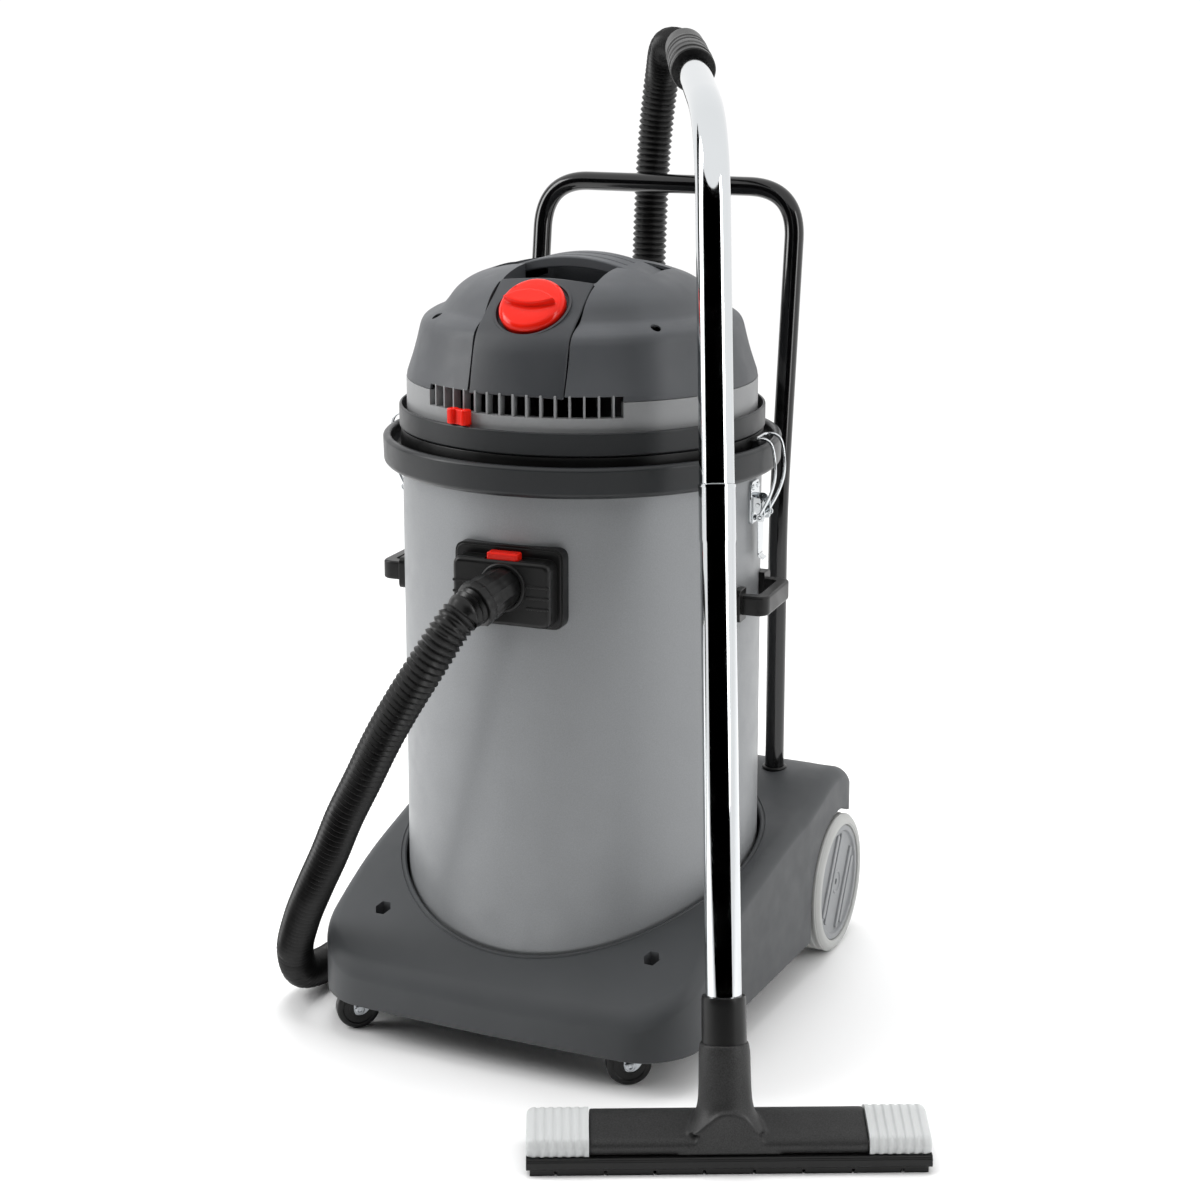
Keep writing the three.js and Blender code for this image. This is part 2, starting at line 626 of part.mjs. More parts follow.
/** Stands a piece that is drawn about Z on the knob's axis, with z = 0 at the knob's middle. */
function onKnobAxis(item) {
  return item.rotate([THREE.MathUtils.radToDeg(KNOB_TILT), 0, 0]).translate(KNOB_AT);
}

function frontPanel() {
  const under = PANEL_LINE.map(([y, z], i) => (i > 2 ? [y + 1.5, z - 4.5] : [y + 4, z])).reverse();
  const plate = extrudeX(outline([...PANEL_LINE, ...under]), -PANEL_HALF + GAP, PANEL_HALF - GAP);
  const cup = onKnobAxis(rodZ(KNOB_R + 5, -14, 6, 28));
  const rear = RECESS_FRONT - 4;
  const behind = extrudeX(outline([...PANEL_LINE, [rear, 931], [rear, 700], [-214, 700]]), -80, 80);
  const knobSpace = onKnobAxis(rodZ(KNOB_R + 2.5, -11, 60, 28));
  const stemHole = onKnobAxis(rodZ(6.5, -40, 0, 16));
  return union(plate, cup.intersect(behind)).subtract(knobSpace).subtract(stemHole);
}

function switchKnob() {
  const dome = turned([[0, -9], [KNOB_R, -9], [KNOB_R, 2], [KNOB_R - 3, 7], [30, 10.5], [0, 12]], 28);
  const grip = new THREE.Shape();
  grip.moveTo(-33, 0);
  grip.quadraticCurveTo(0, 22, 33, 0);
  grip.quadraticCurveTo(0, -22, -33, 0);
  const bar = extrudeZ(grip, 5, 17, 5);
  const stem = rodZ(5.5, -30, -8, 16);
  return onKnobAxis(union(dome, bar, stem));
}

function addFrontPanel() {
  part(drum, 'front_panel', 'panel_plastic', frontPanel());
  part(drum, 'switch_knob', 'red_plastic', switchKnob());
  const body = onKnobAxis(box(-20, 20, -20, 20, -52, -18).subtract(rodZ(5.9, -40, 0, 16)));
  part(drum, 'rotary_switch', 'black_plastic', body);
}

function carryHandle() {
  const arch = new THREE.Shape();
  arch.moveTo(-98, 925);
  arch.quadraticCurveTo(0, 972, 98, 925);
  arch.lineTo(88, 918);
  arch.quadraticCurveTo(0, 952, -88, 918);
  const strap = extrudeX(arch, -36, 34, 8).rotate([0, 0, 90]).mirror([1, 0, 0]);
  const grooves = union(box(-62, 62, -18, -12, 946, 980), box(-62, 62, 8, 14, 946, 980));
  return strap.subtract(grooves);
}

function headCatch() {
  const front = -BAND_R - 14;
  const [low, high] = [RING_TOP + 1, 786];
  const foot = box(-12, 12, -BAND_R - 4.2, -BAND_R, 753, 771);
  const grip = union(
    box(-14, -4, front, -BAND_R, low, high),
    box(5, 14, front, -BAND_R, low, high),
    box(-14, 14, front + 5, -BAND_R, low, high));
  return union(foot, grip).subtract(drumSkin(BAND_R + GAP)).rotate([0, 0, -18]);
}

function motor() {
  const can = turned([[20, 751], [74, 751], [74, 806], [47, 812], [47, 868], [13, 876], [13, 873],
    [42, 865], [42, 818], [13, 818], [13, 803], [70, 803], [70, 753], [20, 753]], 18);
  return can.translate([MOTOR_X, MOTOR_Y, 0]);
}

function rotor() {
  return union(
    rodZ(6, 758, 882, 12),
    turned([[0, 760], [60, 760], [62, 764], [62, 792], [20, 797], [0, 797]], 20),
    turned([[0, 824], [34, 824], [34, 858], [0, 858]], 16)).translate([MOTOR_X, MOTOR_Y, 0]);
}

function floatCage() {
  const top = FLOOR_PLATE - GAP;
  const cage = turned([[54, 642], [58, 642], [58, 716], [160, 728], [160, top], [157, top],
    [157, 731], [54, 719]], 16);
  const floor = turned([[0, 640], [58, 640], [58, 643], [0, 643]], 16);
  const windows = union(box(-80, 80, -26, 26, 652, 706), box(-26, 26, -80, 80, 652, 706));
  return union(cage.subtract(windows), floor);
}

function filterBasket() {
  return turned([[0, 540], [118, 540], [130, 552], [150, 712], [168, 716], [210, 720], [210, 724],
    [166, 720], [148, 716], [128, 560], [116, 543], [0, 543]], 20);
}

function addHead() {
  const gasket = turned([[214, SEAT_Z + GAP], [225, SEAT_Z + GAP], [225, 716], [214, 716]]);
  part(drum, 'head_gasket', 'black_rubber', gasket);
  part(drum, 'head_ring', 'ring_plastic', headRing());
  part(drum, 'motor_housing', 'band_plastic', motorHousing());
  part(drum, 'top_cover', 'cover_plastic', topCover().subtract(carryHandleSeat()));
  part(drum, 'carry_handle', 'cover_plastic', carryHandle());
  part(drum, 'head_catch', 'red_plastic', headCatch());
  pair(drum, 'motor', 'motor_steel', motor());
  pair(drum, 'motor_rotor', 'rotor_alloy', rotor());
  part(drum, 'float_cage', 'black_plastic', floatCage());
  const ball = solid(new THREE.SphereGeometry(26, 14, 10));
  part(drum, 'float_ball', 'bumper_clear', ball.translate([0, 0, 670]));
  part(drum, 'filter_basket', 'filter_cloth', filterBasket());
  const gland = union(rodY(GLAND_R, 200, 246, 12), rodY(12, BAND_R + 0.6, BAND_R + 3.5, 12))
    .subtract(rodY(4.5, 190, 280, 10));
  part(drum, 'cable_gland', 'black_rubber', gland.translate([0, 0, GLAND_Z]));
}

/** The space that the carry handle's feet take out of the cover. */
function carryHandleSeat() {
  return box(-102, 102, -36 - GAP, 34 + GAP, 917, 990);
}

addHead();
addFrontPanel();

// ---------------------------------------------------------------- wand and floor tool
const wandUp = WAND_KNEE.clone().sub(WAND_FOOT).normalize();
const wandOut = WAND_TIP.clone().sub(WAND_KNEE).normalize();
const onWand = (z) => offset(WAND_FOOT, wandUp, (z - WAND_FOOT.z) / wandUp.z);
const flatOut = new THREE.Vector3(wandOut.x, wandOut.y, 0).normalize();
const hoseEnd = offset(WAND_TIP, wandOut, 82);

function hollowPipe(points, r, wall, sides) {
  const first = points[0].clone().sub(points[1]).normalize();
  const last = points[points.length - 1].clone().sub(points[points.length - 2]).normalize();
  const core = [offset(points[0], first, 1), ...points.slice(1, -1),
    offset(points[points.length - 1], last, 1)];
  return pipe(points, r, sides).subtract(pipe(core, r - wall, sides));
}

function addWand() {
  const knee = bend(WAND_FOOT, WAND_KNEE, WAND_TIP, 95, 7);
  const upper = [onWand(WAND_JOINT + GAP), ...knee, WAND_TIP];
  part(wand, 'wand_upper_tube', 'chrome', hollowPipe(upper, WAND_R, WAND_WALL, 12));
  part(wand, 'wand_lower_tube', 'chrome', union(
    hollowPipe([onWand(150), onWand(WAND_JOINT)], WAND_R, WAND_WALL, 12),
    hollowPipe([onWand(WAND_JOINT - 62), onWand(WAND_JOINT)], WAND_R + 0.8, 1.5, 12)));
  const collar = straight(onWand(122), wandUp, 58, 25, 24)
    .subtract(straight(onWand(149.6), wandUp, 80, WAND_R + 1, WAND_R + 1, 12))
    .subtract(straight(onWand(100), wandUp, 80, 17, 17, 16));
  part(wand, 'wand_collar', 'black_plastic', collar);
  const overlap = 42;
  const cuffStart = offset(WAND_TIP, wandOut, -overlap);
  const bore = straight(offset(cuffStart, wandOut, -5), wandOut, overlap + 5 + GAP,
    WAND_R + 0.5, WAND_R + 0.5, 24);
  const past = straight(hoseEnd, flatOut, 100, 60, 60, 8);
  const cuff = straight(cuffStart, wandOut, 130, 28, 25).subtract(bore).subtract(past);
  part(wand, 'hose_wand_cuff', 'black_rubber', cuff);
}

/** Draws the floor tool in its own frame: U along the mouth, V backwards, Z up. */
function addFloorTool() {
  const tool = new THREE.Group();
  tool.position.fromArray(TOOL_AT);
  tool.rotation.z = TOOL_YAW;
  wand.add(tool);
  const up = new THREE.Vector3(0, 0, 1);
  const local = onWand(40).sub(vec(TOOL_AT)).applyAxisAngle(up, -TOOL_YAW);
  const lean = wandUp.clone().applyAxisAngle(up, -TOOL_YAW);
  const section = outline([[-30, 21], [-34, 32], [-20, 46], [16, 50], [36, 40], [38, 21]]);
  const inside = outline([[-24, 15], [-28, 31], [-18, 40], [14, 44], [30, 36], [32, 15]]);
  const neck = straight(local, lean, 92, 34, 27.5).subtract(box(-60, 60, -60, 60, 0, 44));
  const collarHole = straight(offset(local, lean, 82 / lean.z), lean, 60, 25.6, 25.6);
  const airway = straight(offset(local, lean, -14), lean, 140, 20, 20, 16);
  const body = extrudeX(section, -152, 152).subtract(extrudeX(inside, -140, 140));
  part(tool, 'floor_tool_body', 'black_plastic', union(body, neck).subtract(collarHole)
    .subtract(airway));
  const cap = outline([[-33, 21], [-36, 32], [-22, 45], [18, 48], [38, 38], [40, 21]]);
  const capInside = outline([[-27, 15], [-30, 31], [-19, 40], [16, 43], [32, 36], [34, 15]]);
  pair(tool, 'tool_bumper', 'bumper_clear', extrudeX(cap, 152.6, TOOL_HALF)
    .subtract(extrudeX(capInside, 140, TOOL_HALF - 6)));
  const grooveEnd = TOOL_HALF - 3;
  part(tool, 'strip_holder', 'black_plastic', box(-TOOL_HALF, TOOL_HALF, -38, 42, 7, 20.6)
    .subtract(box(-TOOL_HALF + 7, TOOL_HALF - 7, -29, 33, 0, 30))
    .subtract(box(-grooveEnd, grooveEnd, -35.3, -31.7, 0, 16.3))
    .subtract(box(-grooveEnd, grooveEnd, 35.7, 39.3, 0, 16.3)));
  const notches = [-189, -135, -81, -27, 27, 81, 135, 189]
    .map((u) => box(u - 1.5, u + 1.5, -36, -30, -1, 5));
  const strip = (v) => box(-TOOL_HALF + 4, TOOL_HALF - 4, v, v + 3, 0, 16);
  part(tool, 'squeegee_front', 'black_rubber', strip(-35).subtract(union(notches)));
  part(tool, 'squeegee_rear', 'black_rubber', strip(36));
}

// ---------------------------------------------------------------- hose
function hosePoints() {
  const up = new THREE.Vector3(0, 0, 1);
  const along = CUFF_ALONG.clone().applyAxisAngle(up, DRUM_YAW);
  const start = offset(CUFF_FROM, CUFF_ALONG, CUFF_LENGTH + GAP).applyAxisAngle(up, DRUM_YAW);
  const entry = offset(hoseEnd, flatOut, 18);
  const spine = new THREE.CatmullRomCurve3([offset(start, along, 18), ...HOSE_ROUTE.map(vec), entry],
    false, 'centripetal');
  return [start, ...spine.getSpacedPoints(54), offset(hoseEnd, flatOut, GAP)];
}

/** The hose's end at the machine: a plug in the inlet's socket, an elbow, and a tapered sleeve. */
function machineCuff() {
  const elbow = solid(new THREE.SphereGeometry(28, 14, 8)).translate(CUFF_FROM.toArray());
  const plug = atCuff(rodY(PLUG_R, -270, -238, 20));
  const sleeve = straight(offset(CUFF_FROM, CUFF_ALONG, 8), CUFF_ALONG, CUFF_LENGTH - 8, 27, 25);
  const behindFace = box(-60, 60, -INLET_FRONT - 2, -200, 500, 700);
  return union(elbow, sleeve).subtract(behindFace).add(plug);
}

addWand();
addFloorTool();
part(drum, 'hose_machine_cuff', 'black_rubber', machineCuff());
part(vacuum, 'hose', 'black_rubber', pipe(hosePoints(), HOSE_R, 8));

export default vacuum;
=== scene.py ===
"""Looks for a wet and dry shop vacuum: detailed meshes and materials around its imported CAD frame.

Dimensions are millimetres, and become metres when a mesh is made. The drum and the head are drawn
square to the axes, and turned by DRUM_YAW about the drum's own axis, as they stand on the trolley.
"""

import json
import math

import bmesh
import bpy
from mathutils import Matrix, Vector


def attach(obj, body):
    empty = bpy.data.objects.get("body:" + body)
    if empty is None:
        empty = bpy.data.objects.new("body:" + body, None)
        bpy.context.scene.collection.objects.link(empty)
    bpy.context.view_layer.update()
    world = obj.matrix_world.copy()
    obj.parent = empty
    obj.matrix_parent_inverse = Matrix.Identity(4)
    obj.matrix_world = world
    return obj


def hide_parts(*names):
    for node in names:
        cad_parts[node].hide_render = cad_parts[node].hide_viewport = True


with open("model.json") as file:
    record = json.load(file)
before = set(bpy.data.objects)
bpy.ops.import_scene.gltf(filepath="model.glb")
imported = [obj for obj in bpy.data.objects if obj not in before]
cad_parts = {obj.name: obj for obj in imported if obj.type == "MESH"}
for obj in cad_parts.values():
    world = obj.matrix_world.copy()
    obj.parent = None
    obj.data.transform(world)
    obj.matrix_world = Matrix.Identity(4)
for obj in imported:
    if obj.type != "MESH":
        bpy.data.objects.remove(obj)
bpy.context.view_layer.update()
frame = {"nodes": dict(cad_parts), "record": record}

MM = 0.001
DRUM_YAW = Matrix.Rotation(math.radians(3), 4, "Z")
UP = Vector((0, 0, 1))
SIDES = {"left": -1, "right": 1}


# ---- mesh helpers
def in_scene(obj):
    bpy.context.scene.collection.objects.link(obj)
    return obj


def new_object(name, points, faces):
    """A mesh object from points in millimetres, with touching points merged and faces turned outwards."""
    mesh = bpy.data.meshes.new(name)
    mesh.from_pydata([Vector(p) * MM for p in points], [], faces)
    bm = bmesh.new()
    bm.from_mesh(mesh)
    bmesh.ops.remove_doubles(bm, verts=bm.verts, dist=2e-6)
    bmesh.ops.dissolve_degenerate(bm, edges=bm.edges, dist=1e-6)
    bmesh.ops.recalc_face_normals(bm, faces=bm.faces)
    bm.to_mesh(mesh)
    bm.free()
    return in_scene(bpy.data.objects.new(name, mesh))


def skin(name, rings, wrap=False, caps=True):
    """Joins closed rings of equal length, one after the other. wrap joins the last ring to the first."""
    n = len(rings[0])
    faces = []
    for a in range(len(rings) if wrap else len(rings) - 1):
        b = (a + 1) % len(rings)
        faces += [(a * n + i, a * n + (i + 1) % n, b * n + (i + 1) % n, b * n + i) for i in range(n)]
    if caps and not wrap:
        faces += [tuple(range(n)), tuple(range((len(rings) - 1) * n, len(rings) * n))]
    return new_object(name, [p for ring in rings for p in ring], faces)


def arch(a, corner, b, steps):
    """A quadratic curve from a to b that bends towards a corner."""
    ts = [k / steps for k in range(steps + 1)]
    return [a * (1 - t) ** 2 + corner * (2 * t * (1 - t)) + b * t * t for t in ts]


def rounded(points, radius, closed=True, steps=4):
    """An outline with its corners rounded. A corner's third number is its own radius."""
    out = []
    last = len(points) - 1
    for i, point in enumerate(points):
        here = Vector(point[:2])
        back = Vector(points[i - 1][:2]) - here
        ahead = Vector(points[0 if i == last else i + 1][:2]) - here
        reach = min(point[2] if len(point) > 2 else radius, back.length * 0.49, ahead.length * 0.49)
        if reach < 0.05 or (not closed and i in (0, last)):
            out.append(here)
        else:
            out += arch(here + back.normalized() * reach, here, here + ahead.normalized() * reach, steps)
    return out


def rectangle(u0, u1, v0, v1, radius=0.0, steps=5):
    return rounded([(u0, v0), (u1, v0), (u1, v1), (u0, v1)], radius, steps=steps)


def lathe(name, profile, sides=192, axis="z", about=(0, 0, 0), soft=0.0, steps=4):
    """Turns a profile of (radius, height) about an axis through a point.

    soft rounds the profile's corners first. The profile closes unless it starts on the axis.
    """
    hollow = profile[0][0] > 0
    if soft:
        profile = rounded(profile, soft, closed=hollow, steps=steps)
    turns = [2 * math.pi * i / sides for i in range(sides)]
    put = {"z": lambda r, a, h: (r * math.cos(a), r * math.sin(a), h),
           "x": lambda r, a, h: (h, r * math.cos(a), r * math.sin(a)),
           "y": lambda r, a, h: (r * math.sin(a), h, r * math.cos(a))}[axis]
    rings = [[Vector(about) + Vector(put(r, a, h)) for a in turns] for r, h in profile]
    return skin(name, rings, wrap=hollow, caps=False)


def prism(name, outline, low, high, plane="xy"):
    """Extrudes an outline drawn in a plane along the third axis."""
    put = {"xy": lambda u, v, w: (u, v, w),
           "yz": lambda u, v, w: (w, u, v),
           "xz": lambda u, v, w: (u, w, v)}[plane]
    return skin(name, [[put(p[0], p[1], w) for p in outline] for w in (low, high)])


def block(name, x0, x1, y0, y1, z0, z1):
    return prism(name, [(x0, y0), (x1, y0), (x1, y1), (x0, y1)], z0, z1)


def rings_along(path, radii, sides, lobes=0, lobe_height=0.0):
    """Circles square to a path, carried along it without twisting."""
    rings = []
    across = None
    for i, point in enumerate(path):
        along = (path[min(i + 1, len(path) - 1)] - path[max(i - 1, 0)]).normalized()
        if across is None:
            across = along.cross(UP if abs(along.z) < 0.9 else Vector((0, 1, 0)))
        across = (across - along * across.dot(along)).normalized()
        other = along.cross(across)
        ring = []
        for k in range(sides):
            a = 2 * math.pi * k / sides
            r = radii[i] + lobe_height * max(0.0, math.cos(lobes * a)) ** 4
            ring.append(point + across * (r * math.cos(a)) + other * (r * math.sin(a)))
        rings.append(ring)
    return rings


def tube(name, path, radii, sides=32, **ribs):
    path = [Vector(p) for p in path]
    radii = radii if isinstance(radii, list) else [radii] * len(path)
    return skin(name, rings_along(path, radii, sides, **ribs))


def settle(obj):
    """Turns an object's modifiers into its mesh."""
    evaluated = obj.evaluated_get(bpy.context.evaluated_depsgraph_get())
    mesh = bpy.data.meshes.new_from_object(evaluated)
    obj.modifiers.clear()
    obj.data = mesh
    return obj


def carve(obj, tool, operation="DIFFERENCE"):
    modifier = obj.modifiers.new("carve", "BOOLEAN")
    modifier.operation = operation
    modifier.solver = "EXACT"
    modifier.object = tool
    settle(obj)
    bpy.data.objects.remove(tool)
    return obj


def merge(obj, *others):
    """Adds other objects' meshes to this one's as they are."""
    bm = bmesh.new()
    bm.from_mesh(obj.data)
    for other in others:
        bm.from_mesh(other.data)
        bpy.data.objects.remove(other)
    bm.to_mesh(obj.data)
    bm.free()
    return obj


def soften(obj, width, segments=3, angle=35):
    bevel = obj.modifiers.new("edges", "BEVEL")
    bevel.width = width * MM
    bevel.segments = segments
    bevel.limit_method = "ANGLE"
    bevel.angle_limit = math.radians(angle)
    return settle(obj)


def mirrored(obj, name):
    """A copy of an object on the other side of the X = 0 plane."""
    copy = in_scene(obj.copy())
    copy.data = obj.data.copy()
    copy.name = name
    copy.data.transform(Matrix.Scale(-1, 4, (1, 0, 0)))
    copy.data.flip_normals()
    return copy


def moved(obj, matrix):
    """Applies a placement whose translation is in millimetres."""
    metres = matrix.copy()
    metres.translation = matrix.translation * MM
    obj.data.transform(metres)
    return obj


def between(p, q, start, end, t):
    return p * ((end - t) / (end - start)) + q * ((t - start) / (end - start))


def smooth_line(points, per_span=8):
    """A centripetal Catmull-Rom curve through points."""
    pts = [Vector(p) for p in points]
    pts = [pts[0] * 2 - pts[1], *pts, pts[-1] * 2 - pts[-2]]
    out = []
    for i in range(1, len(pts) - 2):
        p0, p1, p2, p3 = pts[i - 1:i + 3]
        t0 = 0.0
        t1 = t0 + (p1 - p0).length ** 0.5
        t2 = t1 + (p2 - p1).length ** 0.5
        t3 = t2 + (p3 - p2).length ** 0.5
        for k in range(per_span):
            t = t1 + (t2 - t1) * k / per_span
            a1 = between(p0, p1, t0, t1, t)
            a2 = between(p1, p2, t1, t2, t)
            a3 = between(p2, p3, t2, t3, t)
            b1 = between(a1, a2, t0, t2, t)
            b2 = between(a2, a3, t1, t3, t)
            out.append(between(b1, b2, t1, t2, t))
    return [*out, pts[-2]]


def evenly(path, step):
    """The points of a path at equal steps along it, its last point included."""
    reach = [0.0]
    for a, b in zip(path, path[1:]):
        reach.append(reach[-1] + (b - a).length)
    count = max(2, round(reach[-1] / step))
    out = []
    span = 0
    for k in range(count + 1):
        target = reach[-1] * k / count
        while span < len(path) - 2 and reach[span + 1] < target:
            span += 1
        share = (target - reach[span]) / max(reach[span + 1] - reach[span], 1e-9)
        out.append(path[span].lerp(path[span + 1], min(share, 1.0)))
    return out


def bend(before, corner, after, reach, steps):
    """Points of one rounded bend between two straight runs."""
    start = corner + (before - corner).normalized() * reach
    return arch(start, corner, corner + (after - corner).normalized() * reach, steps)


# ---- camera and light
CAMERA_AT = Vector((1.155, -2.482, 1.251))
CAMERA_HEADING = math.radians(24.5)
CAMERA_TILT = math.radians(11.05)
FOCAL_LENGTH = 67.24
SHIFT_Y = -0.134


def add_camera():
    data = bpy.data.cameras.new("camera")
    data.lens = FOCAL_LENGTH
    data.shift_y = SHIFT_Y
    camera = in_scene(bpy.data.objects.new("camera", data))
    camera.location = CAMERA_AT
    camera.rotation_euler = (math.pi / 2 - CAMERA_TILT, 0, CAMERA_HEADING)
    bpy.context.scene.camera = camera


def add_softbox(name, at, target, width, height, power, glossy=True):
    data = bpy.data.lights.new(name, "AREA")
    data.shape = "RECTANGLE"
    data.size = width
    data.size_y = height
    data.energy = power
    light = in_scene(bpy.data.objects.new(name, data))
    light.location = at
    light.rotation_euler = (Vector(target) - Vector(at)).to_track_quat("-Z", "Y").to_euler()
    light.visible_glossy = glossy


def plain_material(name, grey, roughness, specular):
    material = bpy.data.materials.new(name)
    material.use_nodes = True
    shader = material.node_tree.nodes["Principled BSDF"]
    shader.inputs["Base Color"].default_value = (grey, grey, grey, 1)
    shader.inputs["Roughness"].default_value = roughness
    shader.inputs["Specular IOR Level"].default_value = specular
    return material


def add_flag(name, start, end):
    """A curved black studio flag, from one angle to another about the object as seen from the camera.

    It shows in reflections and shades the front, but the camera does not see it.
    """
    low, high, away, steps = 60, 3300, 3800, 24
    heading = math.atan2(CAMERA_AT.y, CAMERA_AT.x)
    angles = [heading + math.radians(start + (end - start) * k / steps) for k in range(steps + 1)]
    rows = [[(away * math.cos(a), away * math.sin(a), z) for a in angles] for z in (low, high)]
    faces = [(k, k + 1, k + steps + 2, k + steps + 1) for k in range(steps)]
    flag = new_object(name, rows[0] + rows[1], faces)
    flag.data.materials.append(plain_material(name, 0.0, 1.0, 0.0))
    flag.visible_camera = False
    flag.visible_shadow = False


def add_studio():
    world = bpy.data.worlds.new("studio")
    bpy.context.scene.world = world
    world.use_nodes = True
    background = world.node_tree.nodes["Background"]
    background.inputs["Color"].default_value = (1, 1, 1, 1)
    background.inputs["Strength"].default_value = 1.06
    half = 30000
    corners = [(-half, -half, 0), (half, -half, 0), (half, half, 0), (-half, half, 0)]
    floor = new_object("floor", corners, [(0, 1, 2, 3)])
    floor.data.materials.append(plain_material("floor", 0.97, 0.9, 0.1))
    middle = (0, 0, 0.6)
    add_softbox("key", (-2.4, -1.2, 1.9), middle, 1.1, 2.2, 46)
    add_softbox("fill", (2.7, -0.6, 1.5), middle, 0.6, 2.0, 16)
    add_softbox("top", (-0.3, 0.2, 3.2), middle, 2.0, 1.6, 52, glossy=False)
    add_flag("flag_front", -72, 50)
    add_flag("flag_left", -124, -108)
    view = bpy.context.scene.view_settings
    view.view_transform = "Standard"
    view.look = "None"


# ---- materials
class Nodes:
    """Short calls for a material's nodes, around its one principled shader."""

    def __init__(self, name):
        self.material = bpy.data.materials.new(name)
        self.material.use_nodes = True
        self.tree = self.material.node_tree
        self.shader = self.tree.nodes["Principled BSDF"]
        self.place = self.add("ShaderNodeTexCoord").outputs["Object"]

    def add(self, kind, **sockets):
        node = self.tree.nodes.new(kind)
        for key, value in sockets.items():
            node.inputs[key.replace("_", " ")].default_value = value
        return node

    def link(self, output, target):
        self.tree.links.new(output, target)

    def noise(self, scale, detail):
        node = self.add("ShaderNodeTexNoise", Scale=scale, Detail=detail)
        self.link(self.place, node.inputs["Vector"])
        return node.outputs["Fac"]

    def spread(self, value, low, high, start=0.3, end=0.7):
        """Maps the middle of a noise to a range of values."""
        node = self.add("ShaderNodeMapRange", From_Min=start, From_Max=end, To_Min=low, To_Max=high)
        self.link(value, node.inputs["Value"])
        return node.outputs["Result"]

    def tint(self, value, dark, light):
        ramp = self.add("ShaderNodeValToRGB")
        ramp.color_ramp.elements[0].color = (*dark, 1)
        ramp.color_ramp.elements[1].color = (*light, 1)
        ramp.color_ramp.elements[0].position = 0.3
        ramp.color_ramp.elements[1].position = 0.7
        self.link(value, ramp.inputs["Fac"])
        self.link(ramp.outputs["Color"], self.shader.inputs["Base Color"])

    def bumps(self, layers, edge):
        """Stacks bump layers of (height, strength, depth in metres) on slightly rounded edges."""
        rounding = self.add("ShaderNodeBevel", Radius=edge)
        rounding.samples = 4
        normal = rounding.outputs["Normal"]
        for height, strength, depth in layers:
            bump = self.add("ShaderNodeBump", Strength=strength, Distance=depth)
            self.link(height, bump.inputs["Height"])
            self.link(normal, bump.inputs["Normal"])
            normal = bump.outputs["Normal"]
        self.link(normal, self.shader.inputs["Normal"])


def scaled(colour, factor):
    return tuple(min(1.0, c * factor) for c in colour)


def surface(name, colour, roughness, metallic=0.0, grain=0.0, grain_scale=1500.0, vary=0.06, wave=0.0,
            speckle=0.0, coat=0.0, specular=0.5, edge=0.0007, clear=0.0, shade=1.0):
    """A moulded, painted or plated surface: fine grain, faint colour and gloss variation, soft edges."""
    n = Nodes(name)
    colour = scaled(colour, shade)
    settings = {"Metallic": metallic, "Specular IOR Level": specular}
    if coat:
        settings |= {"Coat Weight": coat, "Coat Roughness": 0.06}
    if clear:
        settings |= {"Transmission Weight": clear, "IOR": 1.45}
    for socket, value in settings.items():
        n.shader.inputs[socket].default_value = value
    cloud = n.noise(9.0, 4.0)
    fine = n.noise(grain_scale, 2.0)
    if speckle:
        n.tint(fine, scaled(colour, 1 - speckle), scaled(colour, 1 + speckle))
    else:
        n.tint(cloud, scaled(colour, 1 - vary), scaled(colour, 1 + vary))
    gloss = n.spread(n.noise(35.0, 5.0), max(0.02, roughness - 0.05), roughness + 0.05)
    n.link(gloss, n.shader.inputs["Roughness"])
    layers = []
    if grain:
        layers.append((fine, grain, 0.0004))
    if wave:
        layers.append((n.noise(14.0, 2.0), wave, 0.002))
    n.bumps(layers, edge)
    return n.material


LOOKS = {slot["slot"]: tuple(slot["base_color"][:3]) for slot in frame["record"]["materials"]}
FINISH = {
    "base_plastic": dict(roughness=0.5, grain=0.12, grain_scale=1100, wave=0.04, specular=0.3, shade=0.88),
    "drum_paint": dict(roughness=0.42, metallic=0.25, grain=0.14, grain_scale=900, speckle=0.07),
    "ring_plastic": dict(roughness=0.36, grain=0.06, specular=0.3, shade=0.5),
    "cover_plastic": dict(roughness=0.48, grain=0.14, grain_scale=1300, specular=0.4),
    "panel_plastic": dict(roughness=0.48, grain=0.14, grain_scale=1300, specular=0.4, shade=0.85),
    "band_plastic": dict(roughness=0.45, grain=0.08, specular=0.4),
    "black_plastic": dict(roughness=0.33, grain=0.1, grain_scale=900, specular=0.3, shade=0.8),
    "red_plastic": dict(roughness=0.17, vary=0.03, edge=0.001, specular=0.24),
    "tyre_grey": dict(roughness=0.62, grain=0.15, grain_scale=700, specular=0.3, shade=0.95),
    "hub_grey": dict(roughness=0.5, grain=0.1, specular=0.4),
    "bumper_clear": dict(roughness=0.4, grain=0.1, grain_scale=500, clear=0.15, vary=0.03, shade=1.12),
    "black_rubber": dict(roughness=0.36, grain=0.08, grain_scale=1200, specular=0.35, shade=0.7),
    "chrome": dict(roughness=0.05, metallic=1.0, vary=0.02, wave=0.01, edge=0.0004),
    "zinc": dict(roughness=0.28, metallic=1.0, grain=0.1, grain_scale=400, vary=0.12),
    "black_enamel": dict(roughness=0.14, coat=0.4, wave=0.02, specular=0.4, shade=0.6),
    "filter_cloth": dict(roughness=0.9, grain=0.8, grain_scale=500, vary=0.1, specular=0.1),
    "motor_steel": dict(roughness=0.35, metallic=0.9, grain=0.1),
    "rotor_alloy": dict(roughness=0.3, metallic=0.9, grain=0.1),
}
MATERIALS = {slot: surface(slot, LOOKS[slot], **finish) for slot, finish in FINISH.items()}
TOOL_PLASTIC = surface("tool_plastic", LOOKS["black_plastic"], roughness=0.5, grain=0.25, grain_scale=700,
                       speckle=0.5, specular=0.4, shade=2.6)


